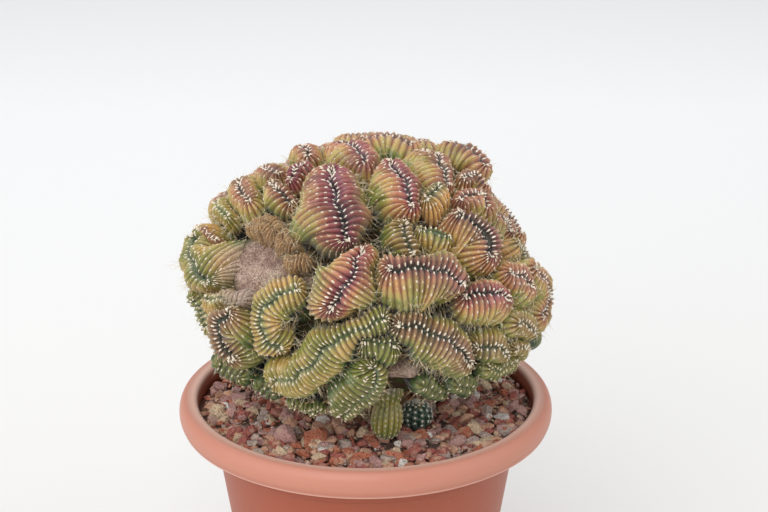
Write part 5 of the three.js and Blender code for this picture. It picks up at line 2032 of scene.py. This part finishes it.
class Pot:
    """The round plastic pot with its rolled rim, recessed neck, ledge and drain holes."""

    RIM_TOP = 100.0
    RIM_RADIUS = 65.0
    RIM_HALF_WIDTH = 2.95
    RIM_HALF_HEIGHT = 4.9
    RIM_INNER_POWER = 0.42
    RIM_INNER_WIDTH = 3.7
    NECK_RADIUS = 54.6
    NECK_HEIGHT = 89.5
    LEDGE_HEIGHT = 84.0
    LEDGE_STEP = 0.6
    WALL_TOP_RADIUS = 52.4
    BASE_RADIUS = 39.5
    BASE_ROUND = 1.6
    WALL = 2.2
    FLOOR = 2.6
    SIDES = 160
    DRAIN_RADIUS = 4.0
    DRAIN_RING = 24.0
    DRAIN_HOLES = 6
    BURR_ANGLE = -52.0
    BURR_SPAN = 5
    BURR_HEIGHT = 0.16
    WALL_SHARES = (0.03, 0.3, 0.6, 0.9, 0.985, 1.0)
    # Corners of the section, as steps outwards and upwards from the neck's radius and a height.
    LEDGE = ((-1.2, 0.05), (-0.35, 0.2), (0.0, LEDGE_STEP), (0.0, 2.5))
    NECK = ((0.0, -0.7), (0.25, -0.1), (1.0, 0.25))
    INNER_NECK = ((1.2, -0.2), (0.2, -0.8), (0.0, -1.6))
    RIM_TURNS = tuple(-75 + 7.5 * step for step in range(41))

    def section(self) -> list[Pair]:
        """Draws the section: up the outside, over the rim and down the inside."""
        pairs = []
        for degrees in range(-90, 1, 15):
            turn = math.radians(degrees)
            reach = self.BASE_RADIUS - self.BASE_ROUND * (1 - math.cos(turn))
            pairs.append((reach, self.BASE_ROUND * (1 + math.sin(turn))))
        pairs += [
            (self.BASE_RADIUS + (self.WALL_TOP_RADIUS - self.BASE_RADIUS) * share,
             self.BASE_ROUND + (self.LEDGE_HEIGHT - self.BASE_ROUND) * share)
            for share in self.WALL_SHARES
        ]
        pairs += [(self.NECK_RADIUS + out, self.LEDGE_HEIGHT + up) for out, up in self.LEDGE]
        pairs += [(self.NECK_RADIUS + out, self.NECK_HEIGHT + up) for out, up in self.NECK]
        centre = self.RIM_RADIUS - self.RIM_HALF_WIDTH
        middle = self.RIM_TOP - self.RIM_HALF_HEIGHT
        for degrees in self.RIM_TURNS:
            turn = math.radians(degrees)
            burr = self.BURR_HEIGHT * math.exp(-(((degrees - self.BURR_ANGLE) / self.BURR_SPAN) ** 2))
            across, up = math.cos(turn), math.sin(turn)
            if 90 < degrees < 180:
                across, up = -abs(across) ** self.RIM_INNER_POWER, up**self.RIM_INNER_POWER
            width = self.RIM_INNER_WIDTH if degrees > 90 else self.RIM_HALF_WIDTH
            pairs.append((centre + (width + burr) * across, middle + (self.RIM_HALF_HEIGHT + burr) * up))
        inner = self.NECK_RADIUS - self.WALL
        pairs += [(inner + out, self.NECK_HEIGHT + up) for out, up in self.INNER_NECK]
        pairs += [
            (inner, self.LEDGE_HEIGHT + self.LEDGE_STEP),
            (self.WALL_TOP_RADIUS - self.WALL, self.LEDGE_HEIGHT - self.LEDGE_STEP),
            (self.BASE_RADIUS - self.WALL + 0.4, self.FLOOR + 1.0),
            (self.BASE_RADIUS - self.WALL - 0.6, self.FLOOR),
        ]
        return pairs

    def build(self) -> None:
        """Models the pot and drills its drain holes."""
        piece = extruded_rings("pot_shell", self.section(), self.SIDES)
        bpy.ops.object.mode_set(mode="EDIT")
        bpy.ops.mesh.select_mode(type="EDGE")
        bpy.ops.mesh.select_all(action="DESELECT")
        bpy.ops.mesh.select_non_manifold()
        bpy.ops.mesh.edge_face_add()
        bpy.ops.mesh.select_mode(type="VERT")
        bpy.ops.mesh.select_all(action="SELECT")
        bpy.ops.mesh.normals_make_consistent(inside=False)
        bpy.ops.object.mode_set(mode="OBJECT")
        for order in range(self.DRAIN_HOLES):
            self._drill(piece, math.tau * order / self.DRAIN_HOLES)
        select_only(piece)
        bpy.ops.object.shade_smooth_by_angle(angle=math.radians(40))
        self._mark_edge(piece)
        piece.data.materials.clear()
        piece.data.materials.append(MouldedPlastic().material())
        finish_piece(piece, "pot")

    def _drill(self, piece: Object, turn: float) -> None:
        """Drills one drain hole with a boolean modifier."""
        bpy.ops.object.select_all(action="DESELECT")
        spot = (self.DRAIN_RING * math.cos(turn) * MM, self.DRAIN_RING * math.sin(turn) * MM, 0.0)
        bpy.ops.mesh.primitive_cylinder_add(
            vertices=32, radius=self.DRAIN_RADIUS * MM, depth=4 * self.FLOOR * MM, location=spot
        )
        drill = bpy.context.active_object
        cut = piece.modifiers.new("drain", "BOOLEAN")
        cut.operation = "DIFFERENCE"
        cut.object = drill
        select_only(piece)
        bpy.ops.object.modifier_apply(modifier=cut.name)
        mesh = drill.data
        bpy.data.objects.remove(drill)
        bpy.data.meshes.remove(mesh)

    def _mark_edge(self, piece: Object) -> None:
        """Marks the worn moulding burr under the rim, for the plastic."""
        mesh = piece.data
        points = np.zeros(len(mesh.vertices) * 3)
        mesh.vertices.foreach_get("co", points)
        points = points.reshape(-1, 3) / MM
        radius = np.hypot(points[:, 0], points[:, 1])
        turn = np.degrees(
            np.arctan2(
                (points[:, 2] - self.RIM_TOP + self.RIM_HALF_HEIGHT) / self.RIM_HALF_HEIGHT,
                (radius - self.RIM_RADIUS + self.RIM_HALF_WIDTH) / self.RIM_HALF_WIDTH,
            )
        )
        outer = radius > self.RIM_RADIUS - 2 * self.RIM_HALF_WIDTH
        edge = np.exp(-(((turn - self.BURR_ANGLE) / 6) ** 2)) * outer
        attribute = mesh.attributes.new("edge", "FLOAT", "POINT")
        attribute.data.foreach_set("value", edge.astype(np.float32))


class Studio:
    """The camera, the soft light and the pale floor."""

    CAMERA = (0.0, -612.7, 378.1)
    PITCH = 20.4
    YAW = math.atan(20 / 1920)
    LENS = 90.0
    FLOOR_SIZE = 9.0
    FLOOR_SHIFT = 2.0
    SKY = 0.47
    # Each lamp's name, its place and width in metres and its power in watts.
    LAMPS = (
        ("overhead", (-0.1, 0.35, 1.5), 2.0, 13.3),
        ("front", (-0.3, -0.95, 0.85), 0.9, 7.9),
        ("left", (-0.95, -0.45, 0.45), 0.9, 3.0),
        ("right", (0.95, -0.35, 0.5), 0.9, 2.5),
    )
    AIM = (0.0, 0.0, 0.13)

    def build(self) -> None:
        """Sets the studio up."""
        scene = bpy.context.scene
        camera_data = bpy.data.cameras.new("camera")
        camera_data.lens = self.LENS
        camera_data.sensor_width = 36.0
        camera_data.clip_start = 0.01
        camera = bpy.data.objects.new("camera", camera_data)
        camera.location = [value * MM for value in self.CAMERA]
        camera.rotation_euler = (math.radians(90 - self.PITCH), 0.0, -self.YAW)
        scene.collection.objects.link(camera)
        scene.camera = camera
        scene.view_settings.view_transform = "Standard"
        world = bpy.data.worlds.new("soft_white")
        world.use_nodes = True
        tree = world.node_tree
        tree.nodes.clear()
        sky = add_node(tree, "Background", {"Color": (1.0, 1.0, 1.0, 1.0), "Strength": self.SKY})
        add_node(tree, "OutputWorld", {"Surface": sky})
        scene.world = world
        for lamp in self.LAMPS:
            self._lamp(*lamp)
        self._floor()

    def _lamp(self, name: str, place: Place, size: float, power: float) -> None:
        """Hangs a square soft box that faces the plant."""
        data = bpy.data.lights.new(name, "AREA")
        data.shape = "SQUARE"
        data.size = size
        data.energy = power
        lamp = bpy.data.objects.new(name, data)
        lamp.location = place
        way = Vector(self.AIM) - Vector(place)
        lamp.rotation_euler = way.to_track_quat("-Z", "Y").to_euler()
        bpy.context.scene.collection.objects.link(lamp)

    def _floor(self) -> None:
        """Lays the floor."""
        bpy.ops.object.select_all(action="DESELECT")
        bpy.ops.mesh.primitive_plane_add(size=self.FLOOR_SIZE, location=(0, self.FLOOR_SHIFT, 0))
        floor = bpy.context.active_object
        floor.name = "studio_floor"
        bpy.ops.object.transform_apply(location=True, rotation=True, scale=True)
        floor.data.materials.append(StudioSweep().material())


def main() -> None:
    """Builds the part's pieces in order, then the studio round them."""
    Studio().build()
    CrestedPlant().build()
    Offset().build()
    SoilBed().build()
    Pot().build()


if __name__ == "__main__":
    logging.basicConfig(level=logging.INFO, format="%(message)s")
    main()
